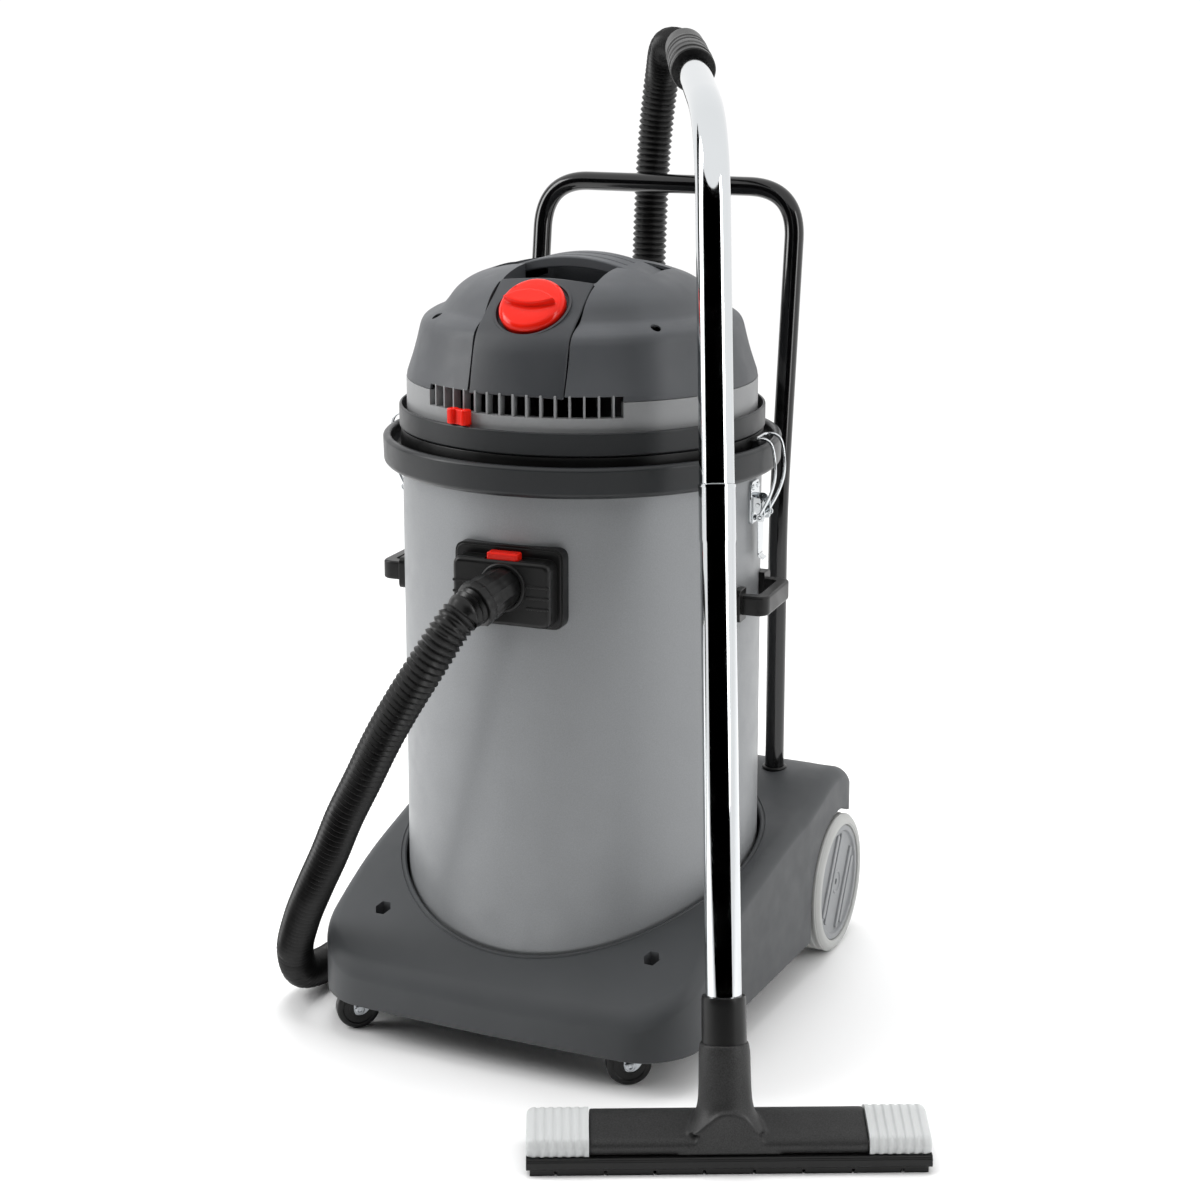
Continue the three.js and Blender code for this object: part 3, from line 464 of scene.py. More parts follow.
def dress(obj, body, slot, *nodes, angle=32, yaw=False):
    """Gives a finished mesh its material, smooth shading, body, slot, and the CAD nodes it stands for."""
    if yaw:
        obj.data.transform(DRUM_YAW)
    obj.data.materials.clear()
    obj.data.materials.append(MATERIALS[slot])
    obj.data.shade_smooth()
    obj.data.set_sharp_from_angle(angle=math.radians(angle))
    weighted = obj.modifiers.new("normals", "WEIGHTED_NORMAL")
    weighted.keep_sharp = True
    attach(obj, body)
    if nodes:
        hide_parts(*nodes)
    return obj


def polish(node, width):
    """Rounds the edges of a CAD node that stays, and gives it its procedural material."""
    obj = frame["nodes"][node]
    slot = next(s["material_slot"] for s in frame["record"]["subparts"] if s["node"] == node)
    obj.data.materials.clear()
    obj.data.materials.append(MATERIALS[slot])
    if width:
        weld = obj.modifiers.new("weld", "WELD")
        weld.merge_threshold = 5e-6
        bevel = obj.modifiers.new("edges", "BEVEL")
        bevel.width = width * MM
        bevel.segments = 2
        bevel.limit_method = "ANGLE"
        bevel.angle_limit = math.radians(40)


def paired(right, body, slot, name, yaw=False):
    """Dresses a piece drawn on the right and its mirror image. A * in the body's name stands for the side."""
    left = mirrored(right, f"{name}_left_look")
    right.name = f"{name}_right_look"
    for side, obj in (("left", left), ("right", right)):
        dress(obj, body.replace("*", side), slot, f"{name}_{side}", yaw=yaw)


add_camera()


# ---- hose, first, because its place is fixed
HOSE_R = 23
HOSE_ROUTE = [
    (-13, -328, 555), (-37, -342, 512), (-69, -345, 461), (-96, -343, 416), (-127, -336, 361),
    (-159, -325, 308), (-190, -310, 252), (-226, -290, 194), (-262, -263, 137), (-293, -231, 78),
    (-303, -199, 37), (-300, -150, 25), (-301, -60, 24), (-305, 60, 24), (-308, 180, 24),
    (-306, 280, 25), (-280, 362, 36), (-218, 402, 70), (-158, 398, 140), (-118, 380, 230),
    (-92, 362, 340), (-74, 346, 470), (-62, 334, 620), (-54, 325, 780), (-48, 320, 920),
    (-42, 317, 1030), (-34, 312, 1100), (-20, 297, 1158), (2, 262, 1193),
]
HOSE_PITCH = 8.0
CUFF_FROM = Vector((3, -264, 589))
CUFF_ALONG = Vector((-0.41, -0.87, -0.31)).normalized()
CUFF_LENGTH = 40
WAND_FOOT = Vector((341, -364, 30))
WAND_KNEE = Vector((212, -108, 1119))
WAND_TIP = Vector((87, 132, 1177))
WAND_UP = (WAND_KNEE - WAND_FOOT).normalized()
WAND_OUT = (WAND_TIP - WAND_KNEE).normalized()
WAND_LEVEL = Vector((WAND_OUT.x, WAND_OUT.y, 0)).normalized()
WAND_R = 20
WAND_JOINT = 722


def on_wand(height):
    return WAND_FOOT + WAND_UP * ((height - WAND_FOOT.z) / WAND_UP.z)


def hose_path():
    turn = DRUM_YAW.to_3x3()
    along = turn @ CUFF_ALONG
    start = turn @ (CUFF_FROM + CUFF_ALONG * CUFF_LENGTH)
    end = WAND_TIP + WAND_OUT * 82
    return [start, *smooth_line([start + along * 18, *HOSE_ROUTE, end + WAND_LEVEL * 18]), end]


def add_hose():
    """One corrugated tube: every ring of the wall is a rounded fold, four steps long."""
    path = evenly(hose_path(), HOSE_PITCH / 4)
    fold = [HOSE_R + 0.2, HOSE_R - 1.4, HOSE_R - 3.4, HOSE_R - 1.4]
    radii = [fold[i % 4] for i in range(len(path))]
    hose = tube("hose_look", path, radii, sides=28)
    dress(hose, "machine", "black_rubber", "hose", angle=70)
    metres = [p * MM for p in path]
    length = sum((b - a).length for a, b in zip(metres, metres[1:]))
    return hose, metres, length


def add_cuffs():
    """The machine cuff is a bent, lengthwise ribbed sleeve, and the wand cuff a tapered one with rings."""
    base = Vector((CUFF_FROM.x, -237, CUFF_FROM.z))
    path = [base, *bend(base, CUFF_FROM, CUFF_FROM + CUFF_ALONG * CUFF_LENGTH, 13, 8)]
    radii = [24.2] * (len(path) - 1) + [25.6]
    ends = [(20, 26.2), (28, 25.6), (29, 26.8), (31, 27.4), (37, 27.4), (39, 26.8), (39.8, 24.6)]
    path += [CUFF_FROM + CUFF_ALONG * d for d, r in ends]
    radii += [r for d, r in ends]
    cuff = tube("machine_cuff_look", path, radii, sides=72, lobes=12, lobe_height=0.8)
    dress(cuff, "machine", "black_rubber", "hose_machine_cuff", yaw=True)

    start = WAND_TIP - WAND_OUT * 42
    steps = [0, 2, 10, 12, 20, 22, 30, 32, 40, 42, 56, 58, 62, 64, 70, 72, 78, 80, 86, 88, 96, 110, 120, 124]
    rings = [26.5, 28, 28, 26.6, 26.6, 28, 28, 26.6, 26.6, 27.4, 27.2, 26, 26, 27, 27, 25.8, 25.8, 26.8,
             26.8, 25.6, 25.8, 25.4, 25.2, 24.6]
    grip = tube("wand_cuff_look", [start + WAND_OUT * d for d in steps], rings, sides=64)
    dress(grip, "wand", "black_rubber", "hose_wand_cuff")
    return cuff, grip


hose, hose_line, hose_length = add_hose()
machine_cuff, wand_cuff = add_cuffs()


# ---- trolley
DRUM_R = 223
TUB_R = 227
BASE_FRONT = 278
BASE_REAR = 300
BASE_BOTTOM = 44
BASE_HALF_FRONT = 252
BASE_HALF_REAR = 266
BASE_CORNER = 80
BASE_EDGE = 15
BOWL_FLOOR = 61.7
HEXAGON_R = 10.5
HEXAGON_AT = (182, -200)
DECK_LINE = [(-300, 76), (-262, 106), (-228, 128), (-149, 165), (-101, 182), (-28, 200),
             (60, 219), (135, 229), (215, 246), (262, 243), (300, 222)]
WHEEL_R = 92
WHEEL_Y = 232
WHEEL_OUTER = 273
WHEEL_W = 42
HUB_R = 77
ARCH_R = 99
ARCH_X = 222
LIP_Z = 176
LEG_X = 181
LEG_Y = 218
LEG_R = 12.5
deck_curve = smooth_line([(0, y, z) for y, z in DECK_LINE], 6)


def deck_height(y):
    for a, b in zip(deck_curve, deck_curve[1:]):
        if y <= b.y:
            return a.z + (b.z - a.z) * max(0.0, min(1.0, (y - a.y) / max(b.y - a.y, 1e-6)))
    return deck_curve[-1].z


def arc(x, y, r, start, end, steps):
    angles = [math.radians(start + (end - start) * k / steps) for k in range(steps + 1)]
    return [Vector((x + r * math.cos(a), y + r * math.sin(a))) for a in angles]


def footprint(inset):
    """The trolley's outline in plan: a bowed front, wide corners, and sides that open towards the rear."""
    middle = BASE_HALF_FRONT - BASE_CORNER
    corner_y = -BASE_FRONT + BASE_CORNER
    r = BASE_CORNER - inset
    front = -BASE_FRONT + inset
    bow = [Vector((middle * k / 5, front - 4 * (1 - (k / 5) ** 2))) for k in range(-4, 5)]
    rear, half = BASE_REAR - inset, BASE_HALF_REAR - inset
    right = [*arc(middle, corner_y, r, -90, 0, 16), Vector((half, 120)),
             *arc(half - 20, rear - 20, 20, 0, 90, 8)]
    left = [Vector((-p.x, p.y)) for p in reversed(right)]
    return bow + right + left


def around(outline, directions):
    """Where rays from the origin cross a star-shaped outline."""
    out = []
    for d in directions:
        for a, b in zip(outline, outline[1:] + outline[:1]):
            e = b - a
            cross = d.x * e.y - d.y * e.x
            if abs(cross) < 1e-9:
                continue
            t = (a.x * e.y - a.y * e.x) / cross
            u = (a.x * d.y - a.y * d.x) / cross
            if t > 0 and -1e-6 <= u <= 1 + 1e-6:
                out.append(d * t)
                break
    return out


def trolley_shell():
    count = 288
    directions = [Vector((math.cos(2 * math.pi * i / count), math.sin(2 * math.pi * i / count)))
                  for i in range(count)]

    def on_outline(inset, height):
        return [Vector((p.x, p.y, height(p.y))) for p in around(footprint(inset), directions)]

    def on_circle(r, height):
        return [Vector((d.x * r, d.y * r, height(d.y * r))) for d in directions]

    def below_deck(drop):
        return lambda y: deck_height(y) - drop

    under = 20
    rings = [on_outline(7, below_deck(under + 4))]
    for inset, rise in ((6, 1), (4, 0), (1.5, 0), (0, 2)):
        rings.append(on_outline(inset, lambda y, z=BASE_BOTTOM + rise: z))
    for k in range(8):
        a = math.pi / 2 * k / 7
        inset = BASE_EDGE * (1 - math.cos(a)) + 2 * k / 7
        drop = BASE_EDGE * (1 - math.sin(a)) + 0.6 * (1 - k / 7)
        rings.append(on_outline(inset, below_deck(drop)))
    edge = rings[-1]
    rim = on_circle(TUB_R + 7, deck_height)
    for t in (0.2, 0.4, 0.6, 0.8, 0.93):
        row = [a.lerp(b, t) for a, b in zip(edge, rim)]
        rings.append([Vector((p.x, p.y, deck_height(p.y))) for p in row])
    rings.append(rim)
    for grow, drop in ((6, 1.2), (4.8, 1.2), (4, -0.3), (2, -0.3), (0, 1.5)):
        rings.append(on_circle(TUB_R + grow, below_deck(drop)))
    for r, level in ((TUB_R, 66), (TUB_R - 4, BOWL_FLOOR), (0, BOWL_FLOOR), (0, BOWL_FLOOR - 5),
                     (TUB_R + 2, BOWL_FLOOR - 5), (TUB_R + 5, 60)):
        rings.append(on_circle(r, lambda y, z=level: z))
    rings.append(on_circle(TUB_R + 5, below_deck(under)))
    return skin("trolley_base_look", rings, wrap=True)


def arch_outline(grow):
    """The side view of one wheel arch."""
    top = LIP_Z + grow
    rise = math.degrees(math.asin((top - WHEEL_R) / (ARCH_R + grow)))
    round_part = arc(WHEEL_Y, WHEEL_R, ARCH_R + grow, 180, rise, 28)
    return [Vector((WHEEL_Y - ARCH_R - grow, 20)), *round_part, Vector((360, top)), Vector((360, 20))]


def add_trolley():
    base = trolley_shell()
    turns = [Vector((math.cos(k / 40), math.sin(k / 40))) for k in range(251)]
    hexagon_x, hexagon_y = HEXAGON_AT
    for sign in SIDES.values():
        carve(base, prism("arch", arch_outline(0), sign * ARCH_X, sign * 330, "yz"))
        liner = prism("liner", arch_outline(4), sign * (ARCH_X - 4), sign * (BASE_HALF_REAR - 3), "yz")
        carve(liner, prism("inside", arch_outline(-0.5), sign * ARCH_X, sign * 330, "yz"))
        carve(liner, prism("footing", around(footprint(2), turns), BASE_BOTTOM, 230), "INTERSECT")
        hexagon = arc(sign * hexagon_x, hexagon_y, HEXAGON_R, 0, 300, 5)
        carve(base, prism("hexagon", hexagon, deck_height(hexagon_y) - 14, 300))
        merge(base, liner)
    dress(base, "machine", "base_plastic", "trolley_base", angle=38)


CASTERS = {"left": (-184, -232, -139), "right": (184, -232, -148)}
CASTER_R = 27
CASTER_TRAIL = 16
CROWN_Z = 56


def caster_pieces(side):
    """Draws one caster with its trail along +X, then turns it to where it stands."""
    inside, steel = 9.7, 2.4
    reach = inside + steel
    top = CROWN_Z + 1.5
    outline = rounded([(-11, top, 1), (-11, 50, 6), (5, 24, 5), (11, 19.5, 7), (21, 19.5, 7), (23.5, 27, 6),
                       (21, top, 1)], 4)
    fork, other = [soften(prism("leg", outline, low, low + steel, "xz"), 0.5, 2) for low in (-reach, inside)]
    crown = prism("crown", rectangle(-14, 22, -reach, reach, 4), CROWN_Z - 1, CROWN_Z + 1.6)
    race = [(0, 1), (15, 1), (17, 3), (17, 6), (14, 8), (5.5, 9), (5.5, 34), (0, 34)]
    race = lathe("race", [(r, CROWN_Z + z) for r, z in race], 48)
    merge(fork, other)
    merge(fork, soften(crown, 0.5, 2), race)
    hub = (CASTER_TRAIL, 0, CASTER_R)
    head = [(0, 0), (6.2, 0), (6.2, 1.6), (5, 2.8), (2.6, 3.2), (2.6, 1.4), (0, 1.4)]
    screw, back = [lathe("screw", [(r, sign * (reach + h)) for r, h in head], 36, "y", hub, soft=0.6)
                   for sign in (1, -1)]
    pin = lathe("pin", [(0, -reach - 1), (3, -reach - 1), (3, reach + 1), (0, reach + 1)], 24, "y", hub)
    axle = merge(screw, back, pin)
    half = [(CASTER_R, 6, 3), (24, 9, 4), (20, 9, 1), (19, 8), (12, 8), (11, 9), (3.5, 9)]
    tread = [(r, -w, *soft) for r, w, *soft in reversed(half)] + half
    wheel = lathe("wheel", tread, 72, "y", hub, soft=0.4)
    x, y, yaw = CASTERS[side]
    place = Matrix.Translation((x, y, 0)) @ Matrix.Rotation(math.radians(yaw), 4, "Z")
    for obj, name, body, slot in ((fork, "caster_fork", f"caster_{side}", "zinc"),
                                  (axle, "caster_axle", f"caster_{side}", "zinc"),
                                  (wheel, "caster_wheel", f"caster_wheel_{side}_rolling", "black_rubber")):
        obj.name = f"{name}_{side}_look"
        dress(moved(obj, place), body, slot, f"{name}_{side}")


def add_rear_wheels():
    inner = WHEEL_OUTER - WHEEL_W
    centre = (0, WHEEL_Y, WHEEL_R)
    bands = []
    for x in (inner + 5, inner + 14, inner + 23, inner + 32):
        bands += [(WHEEL_R - 1.2, x), (WHEEL_R, x + 1), (WHEEL_R, x + 4), (WHEEL_R - 1.2, x + 5)]
    tyre = [(HUB_R + 0.3, inner), (WHEEL_R - 7, inner, 4), (WHEEL_R - 2, inner + 3, 3), *bands,
            (WHEEL_R - 1.6, WHEEL_OUTER - 4, 3), (WHEEL_R - 6, WHEEL_OUTER, 4), (HUB_R + 2.5, WHEEL_OUTER, 1),
            (HUB_R + 1.5, WHEEL_OUTER - 1.2), (HUB_R + 0.3, WHEEL_OUTER - 1.2)]
    right = lathe("rear_tyre", tyre, 128, "x", centre, soft=0.5)
    paired(right, "rear_wheel_*", "tyre_grey", "rear_tyre")

    face = WHEEL_OUTER - 3
    dish = [(4, face - 9), (4, face - 4, 1), (12, face - 4, 1), (13, face - 2.4, 1), (15, face - 2.4, 1),
            (16, face - 4, 1), (68, face - 4, 2), (69.5, face, 1.5), (HUB_R - 1, face, 1.5),
            (HUB_R, face - 1.5, 1), (HUB_R, inner + 4), (68, inner + 4), (68, face - 9), (20, face - 9),
            (20, inner + 4), (8.4, inner + 4), (8.4, face - 9)]
    hub = lathe("rear_hub", dish, 112, "x", centre, soft=0.4)
    for shift in (-45, -31, 17, 31):
        reach = math.sqrt(66 ** 2 - shift ** 2) - 2
        bar = rectangle(-reach, reach, shift - 4.5, shift + 4.5, 4, 4)
        rib = soften(prism("rib", bar, face - 6, face - 1, "yz"), 1.2)
        place = Matrix.Translation((0, WHEEL_Y, WHEEL_R)) @ Matrix.Rotation(math.radians(58), 4, "X")
        merge(hub, moved(rib, place))
    paired(hub, "rear_wheel_*", "hub_grey", "rear_hub")


def add_push_handle():
    foot = Vector((-LEG_X, LEG_Y, 125))
    waist = Vector((-LEG_X, LEG_Y, 600))
    corner = Vector((-LEG_X, 270, 1014))
    far_corner = Vector((LEG_X, corner.y, corner.z))
    half = [foot, *bend(foot, waist, corner, 60, 12), *bend(waist, corner, far_corner, 66, 24)]
    path = half + [Vector((-p.x, p.y, p.z)) for p in reversed(half)]
    handle = tube("push_handle_look", path, LEG_R, 40)
    dress(handle, "machine", "black_enamel", "push_handle")
    top = deck_height(LEG_Y)
    collar = [(0.3, -6), (3, -6), (4, 1, 1), (2.5, 2.5, 1), (0.3, 2.5)]
    collar = [(LEG_R + r, top + z, *soft) for r, z, *soft in collar]
    grommet = lathe("handle_grommet", collar, 48, "z", (LEG_X, LEG_Y, 0), soft=0.5)
    paired(grommet, "machine", "black_rubber", "handle_grommet")


add_trolley()
for side in SIDES:
    caster_pieces(side)
add_rear_wheels()
add_push_handle()


# ---- drum
RIM_R = 247
SEAT_Z = 710
LATCH_PIVOT = (234, 655)
BAIL_PIVOT = (238, 641)
BAIL_HALF = 19
INLET_AXIS = (CUFF_FROM.x, 0, CUFF_FROM.z)


def drum_solid(r):
    """A plain cylinder that pieces on the drum are cut to."""
    return lathe("drum_solid", [(0, -10), (r, -10), (r, 1200), (0, 1200)])


def add_drum():
    wall = [(0, 62), (DRUM_R - 6, 62, 1), (DRUM_R - 1, 64, 3), (DRUM_R, 70, 3), (DRUM_R, 706),
            (DRUM_R - 1.5, 706), (DRUM_R - 1.5, 70, 3), (DRUM_R - 7, 63.5, 3), (0, 63.5)]
    shell = lathe("drum_shell_look", wall, soft=0.3)
    carve(shell, lathe("hole", [(0, -250), (21.3, -250), (21.3, -200), (0, -200)], 48, "y", INLET_AXIS))
    dress(shell, "machine", "drum_paint", "drum_shell", yaw=True)
    rim = [(DRUM_R + 0.3, 693, 0.5), (240, 693, 1.5), (243, 694.5, 2), (RIM_R - 0.8, 698, 3),
           (RIM_R, 727, 1.6), (RIM_R - 3, 730, 1.6), (239, 730, 1.6), (236.5, 727, 2), (236, 718),
           (231, SEAT_Z), (212, SEAT_Z, 0.5), (212, 706.3, 0.5), (DRUM_R + 0.3, 706.3, 0.3)]
    dress(lathe("rim_ring_look", rim, soft=1.0), "machine", "ring_plastic", "rim_ring", yaw=True)


def rivet(profile, axis_x, y, z, soft):
    """A domed rivet head whose axis runs along X."""
    return lathe("rivet", [(r, axis_x + h) for r, h in profile], 24, "x", (0, y, z), soft=soft)


def add_drum_handles():
    """A D-shaped handle of channel section, open below, on two riveted feet."""
    hoop = soften(prism("hoop", rectangle(205, 258, -52, 52, 16, 8), 526, 550), 3, 4)
    carve(hoop, prism("grip_space", rectangle(190, 244.5, -38, 38, 8, 6), 500, 580))
    channel = prism("channel", rectangle(200, 254.5, -48.5, 48.5, 12, 6), 515, 543)
    carve(channel, prism("core", rectangle(190, 248, -41.5, 41.5, 10, 6), 500, 580))
    carve(hoop, channel)
    feet = soften(prism("feet", rectangle(-62, 62, 518, 558, 8), 210, 227.5, "yz"), 1.2)
    carve(feet, block("between", 200, 240, -37, 37, 500, 580))
    carve(hoop, feet, "UNION")
    for y in (-56, 56):
        merge(hoop, rivet([(0, 0), (4.4, 0), (4.4, 7.6), (3, 9.2), (0, 9.6)], 220, y, 538, 0.8))
    carve(hoop, drum_solid(DRUM_R + 0.3))
    paired(hoop, "machine", "black_plastic", "drum_handle", yaw=True)


def add_latches():
    plate_line = [(-17, 630, 6), (17, 630, 6), (17, 662), (14, 682, 5), (-14, 682, 5), (-17, 662)]
    bracket = soften(prism("plate", rounded(plate_line, 2), 215, 226, "yz"), 0.6, 2)
    carve(bracket, drum_solid(DRUM_R + 0.3))
    for low in (-16, 13.5):
        ear = rounded([(222, 646), (238, 646, 7), (238, 664, 7), (222, 664)], 0.4)
        merge(bracket, soften(prism("ear", ear, low, low + 2.5, "xz"), 0.4, 2))
    for y, z in ((-9, 675), (9, 675), (0, 636)):
        merge(bracket, rivet([(0, 0), (3.8, 0), (3.6, 2.8), (2, 4), (0, 4.2)], 224, y, z, 0.6))
    paired(bracket, "machine", "chrome", "latch_bracket", yaw=True)

    blade = rounded([(-11, 651), (-11, 640), (-7.5, 590, 4), (7.5, 590, 4), (11, 640), (11, 651)], 2)
    lever = soften(prism("blade", blade, 231.5, 234, "yz"), 0.5, 2)
    lip = [(231.5, 594), (231.5, 588, 2), (239.5, 585, 1), (239.5, 587.5, 1), (234, 590, 2), (234, 594)]
    merge(lever, soften(prism("lip", rounded(lip, 0.5), -7, 7, "xz"), 0.4, 2))
    for low in (-12.5, 10.5):
        cheek = rounded([(231.6, 634, 1), (241.5, 634, 4), (241.5, 660, 4), (231.6, 660, 1)], 1)
        merge(lever, soften(prism("cheek", cheek, low, low + 2, "xz"), 0.4, 2))
    for (x, z), r, reach in ((LATCH_PIVOT, 2.5, 17.5), (BAIL_PIVOT, 2.0, 20.8)):
        pin = [(0, -reach), (r, -reach), (r, reach), (0, reach)]
        merge(lever, lathe("pin", pin, 24, "y", (x, 0, z), soft=0.5))
    paired(lever, "latch_lever_*_swinging", "chrome", "latch_lever", yaw=True)

    pivot_x, pivot_z = BAIL_PIVOT
    side_line = [(pivot_x, pivot_z + 3), (250, 668), (256, 690), (255.5, 712), (251, 731), (244, 736.5),
                 (231, 736.5)]
    front = [Vector((x, -BAIL_HALF, z)) for x, z in side_line]
    back = [Vector((x, BAIL_HALF, z)) for x, z in reversed(side_line)]
    path = [*smooth_line(front, 6)[:-1], *bend(front[-2], front[-1], back[0], 6, 6),
            *bend(front[-1], back[0], back[1], 6, 6), *smooth_line(back, 6)[1:]]
    bail = tube("bail", path, 1.8, 16)
    for low in (-BAIL_HALF - 1.5, BAIL_HALF - 1.5):
        eye = [(2.4, low), (4.6, low), (4.6, low + 3), (2.4, low + 3)]
        merge(bail, lathe("eye", eye, 32, "y", (pivot_x, 0, pivot_z), soft=0.6))
    paired(bail, "latch_bail_*_swinging", "chrome", "latch_bail", yaw=True)


def add_inlet():
    front = -255
    flange = prism("inlet_box_look", rectangle(-66, 66, 539, 631, 12), -231.5, -190, "xz")
    soften(flange, 1.5)
    shell = soften(prism("shell", rectangle(-61, 61, 543, 621, 11), front, -205, "xz"), 6, 6)
    carve(flange, shell, "UNION")
    notch = prism("notch", rectangle(-21.5, 21.5, -251.5, -232.5, 2), 610, 650)
    carve(flange, notch)
    for z in (567, 580, 593):
        low, high = z - 1.6, z + 1.6
        bars = [prism("rib", rectangle(x0, x1, low, high, 1.4), front - 1.2, front + 4, "xz")
                for x0, x1 in ((-60, -36), (32, 60))]
        bars.append(prism("rib", rectangle(-248, -236, low, high, 1.2), 58, 62.2, "yz"))
        for bar in bars:
            merge(flange, soften(bar, 0.6, 2))
    carve(flange, drum_solid(DRUM_R + 1.7))
    collar = [(24.6, front + 1), (29, front + 1), (29, front - 2, 1), (27.5, front - 3.4, 1),
              (24.6, front - 3.4)]
    merge(flange, lathe("collar", collar, 64, "y", INLET_AXIS, soft=0.5))
    dress(flange, "machine", "black_plastic", "inlet_box", yaw=True)

    gasket = prism("inlet_gasket_look", rectangle(-68, 68, 537, 633, 13), -229.5, -190, "xz")
    carve(gasket, drum_solid(DRUM_R + 0.3))
    dress(gasket, "machine", "black_rubber", "inlet_gasket", yaw=True)

    button = prism("release_button_look", rectangle(-19.5, 19.5, -249.8, -234.2, 3), 618, 627.8)
    soften(button, 1.6, 4)
    for k in range(-6, 7):
        x = 2.5 * k
        merge(button, soften(prism("rib", rectangle(x - 0.7, x + 0.7, -247, -237, 0.5), 627, 628.5), 0.3, 2))
    dress(button, "release_button", "red_plastic", "hose_release_button", yaw=True)


add_drum()
add_drum_handles()
add_latches()
add_inlet()


# ---- head
RING_R = 226.5
RING_TOP = 767
BAND_R = 217
BAND_TOP = 800
LOUVRE_HALF = 34.5
LOUVRE_LOW = 782
COVER_LINE = [(216.5, 800.4, 1), (215.8, 806, 2), (206, 835, 60), (198.5, 866, 6), (194.5, 873.5, 4),
              (186, 879.5, 10), (171, 886, 5), (165, 893, 10), (154, 908, 30), (136, 921, 30),
              (94, 935.5, 60), (0, 943)]
COVER_WALL = 3
PANEL_HALF = 60
PANEL_LINE = [(-214.5, 806), (-206.5, 838), (-199, 862), (-190, 876), (-157, 901), (-113, 931)]
PANEL_CROWN_R = 206
KNOB_AT = (0, -157, 903)
KNOB_TILT = 42
KNOB_R = 40
RECESS = (-109, 48, 905)
on_knob_axis = Matrix.Translation(KNOB_AT) @ Matrix.Rotation(math.radians(KNOB_TILT), 4, "X")


def wedge(name, half_angle, low, high):
    """A slice of the space in front of the head, seen from above."""
    a = math.radians(half_angle)
    far = 420
    side_x, side_y = far * math.sin(a), -far * math.cos(a)
    return prism(name, [(0, 0), (-side_x, side_y), (0, -far * 1.3), (side_x, side_y)], low, high)


def add_head_ring():
    line = [(0, 744), (212, 744), (212, 718.3, 1), (214, 716.3, 1), (221.5, 716.3, 1), (221.5, 738.5, 1),
            (RING_R - 1, 739.5, 1), (RING_R, 741, 1), (RING_R, RING_TOP - 1.5, 1.2),
            (RING_R - 1.2, RING_TOP, 1), (RING_R - 3.2, RING_TOP, 1), (RING_R - 4, 750, 2), (0, 750)]
    ring = lathe("head_ring_look", line, soft=0.6)
    for low, high in ((-234.5, -224), (224, 234.5)):
        merge(ring, soften(prism("lug", rectangle(low, high, -14, 14, 2), 723, 733.5), 1))
    dress(ring, "head", "ring_plastic", "head_ring", yaw=True)
    seal = [(214, 710.3), (235.4, 710.3), (235.4, 712), (225, 712.5), (224.6, 738), (222, 738), (222, 716),
            (214, 716)]
    gasket = lathe("head_gasket_look", seal, 160, soft=0.6)
    dress(gasket, "head", "black_rubber", "head_gasket", yaw=True)


def add_band():
    """The light band with its row of fins across a notch cut in its front."""
    inner = BAND_R - 12
    line = [(inner, 752.6), (BAND_R - 1, 752.6, 1), (BAND_R, 754, 1), (BAND_R, BAND_TOP, 0.5),
            (inner, BAND_TOP)]
    band = lathe("motor_housing_look", line, soft=0.6)
    carve(band, wedge("notch", LOUVRE_HALF, LOUVRE_LOW, 830))
    fin_pitch = math.radians(4.5)
    outline = [(-1.3, -inner + 0.5), (-1.3, -BAND_R + 1.2), (1.3, -BAND_R + 1.2), (1.3, -inner + 0.5)]
    for k in range(-7, 8):
        fin = soften(prism("fin", outline, LOUVRE_LOW - 2, 808), 0.5, 2)
        merge(band, moved(fin, Matrix.Rotation(fin_pitch * k, 4, "Z")))
    dress(band, "head", "band_plastic", "motor_housing", yaw=True)


def add_cover():
    wall = COVER_WALL
    outer = [(0, 800.4), *COVER_LINE]
    inside = [(max(r - wall, 0), z - (0 if r > 180 else wall), *soft) for r, z, *soft in COVER_LINE]
    cover = lathe("top_cover_look", outer, soft=2, steps=8)
    carve(cover, lathe("inside", [(0, 790), (inside[0][0], 790), *inside], soft=2, steps=6))
    low_y, high_y, floor = RECESS
    half = PANEL_HALF + wall
    bucket = prism("bucket", rectangle(-half, half, low_y - wall, high_y + wall, 10), floor - wall, 960)
    carve(bucket, lathe("limit", outer, soft=2, steps=8), "INTERSECT")
    carve(cover, bucket, "UNION")
    carve(cover, block("panel_slot", -PANEL_HALF - 1.2, PANEL_HALF + 1.2, -260, low_y - wall, 780, 990))
    carve(cover, prism("recess", rectangle(-PANEL_HALF, PANEL_HALF, low_y, high_y, 8), floor, 990))
    carve(cover, wedge("fin_window", LOUVRE_HALF, 780, 807))
    for x in (-140, 140):
        for y in (-120, 120):
            at = (x, y, 0)
            carve(cover, lathe("screw_hole", [(0, 780), (6.2, 780), (6.2, 960), (0, 960)], 32, about=at))
            merge(cover, lathe("screw_well", [(4.2, 866), (7.6, 866), (7.6, 868), (4.2, 868)], 32, about=at))
    carve(cover, block("strap_seat", -104, 104, -36.6, 34.6, 917, 990))
    dress(cover, "head", "cover_plastic", "top_cover", yaw=True)


def panel_surface(inset, drop):
    """Rows of points across the panel, crowned to follow the head's roundness."""
    line = evenly(smooth_line([(0, y, z) for y, z in PANEL_LINE], 8), 4)
    xs = [(-1 + 2 * k / 24) * (PANEL_HALF - inset) for k in range(25)]
    rows = []
    sags = [PANEL_CROWN_R - math.sqrt(PANEL_CROWN_R ** 2 - x * x) for x in xs]
    for i, p in enumerate(line):
        along = (line[min(i + 1, len(line) - 1)] - line[max(i - 1, 0)]).normalized()
        out = Vector((0, -along.z, along.y))
        upright = abs(along.z)
        rows.append([p + Vector((x, 0, 0)) - out * (drop + upright * sag) for x, sag in zip(xs, sags)])
    return rows


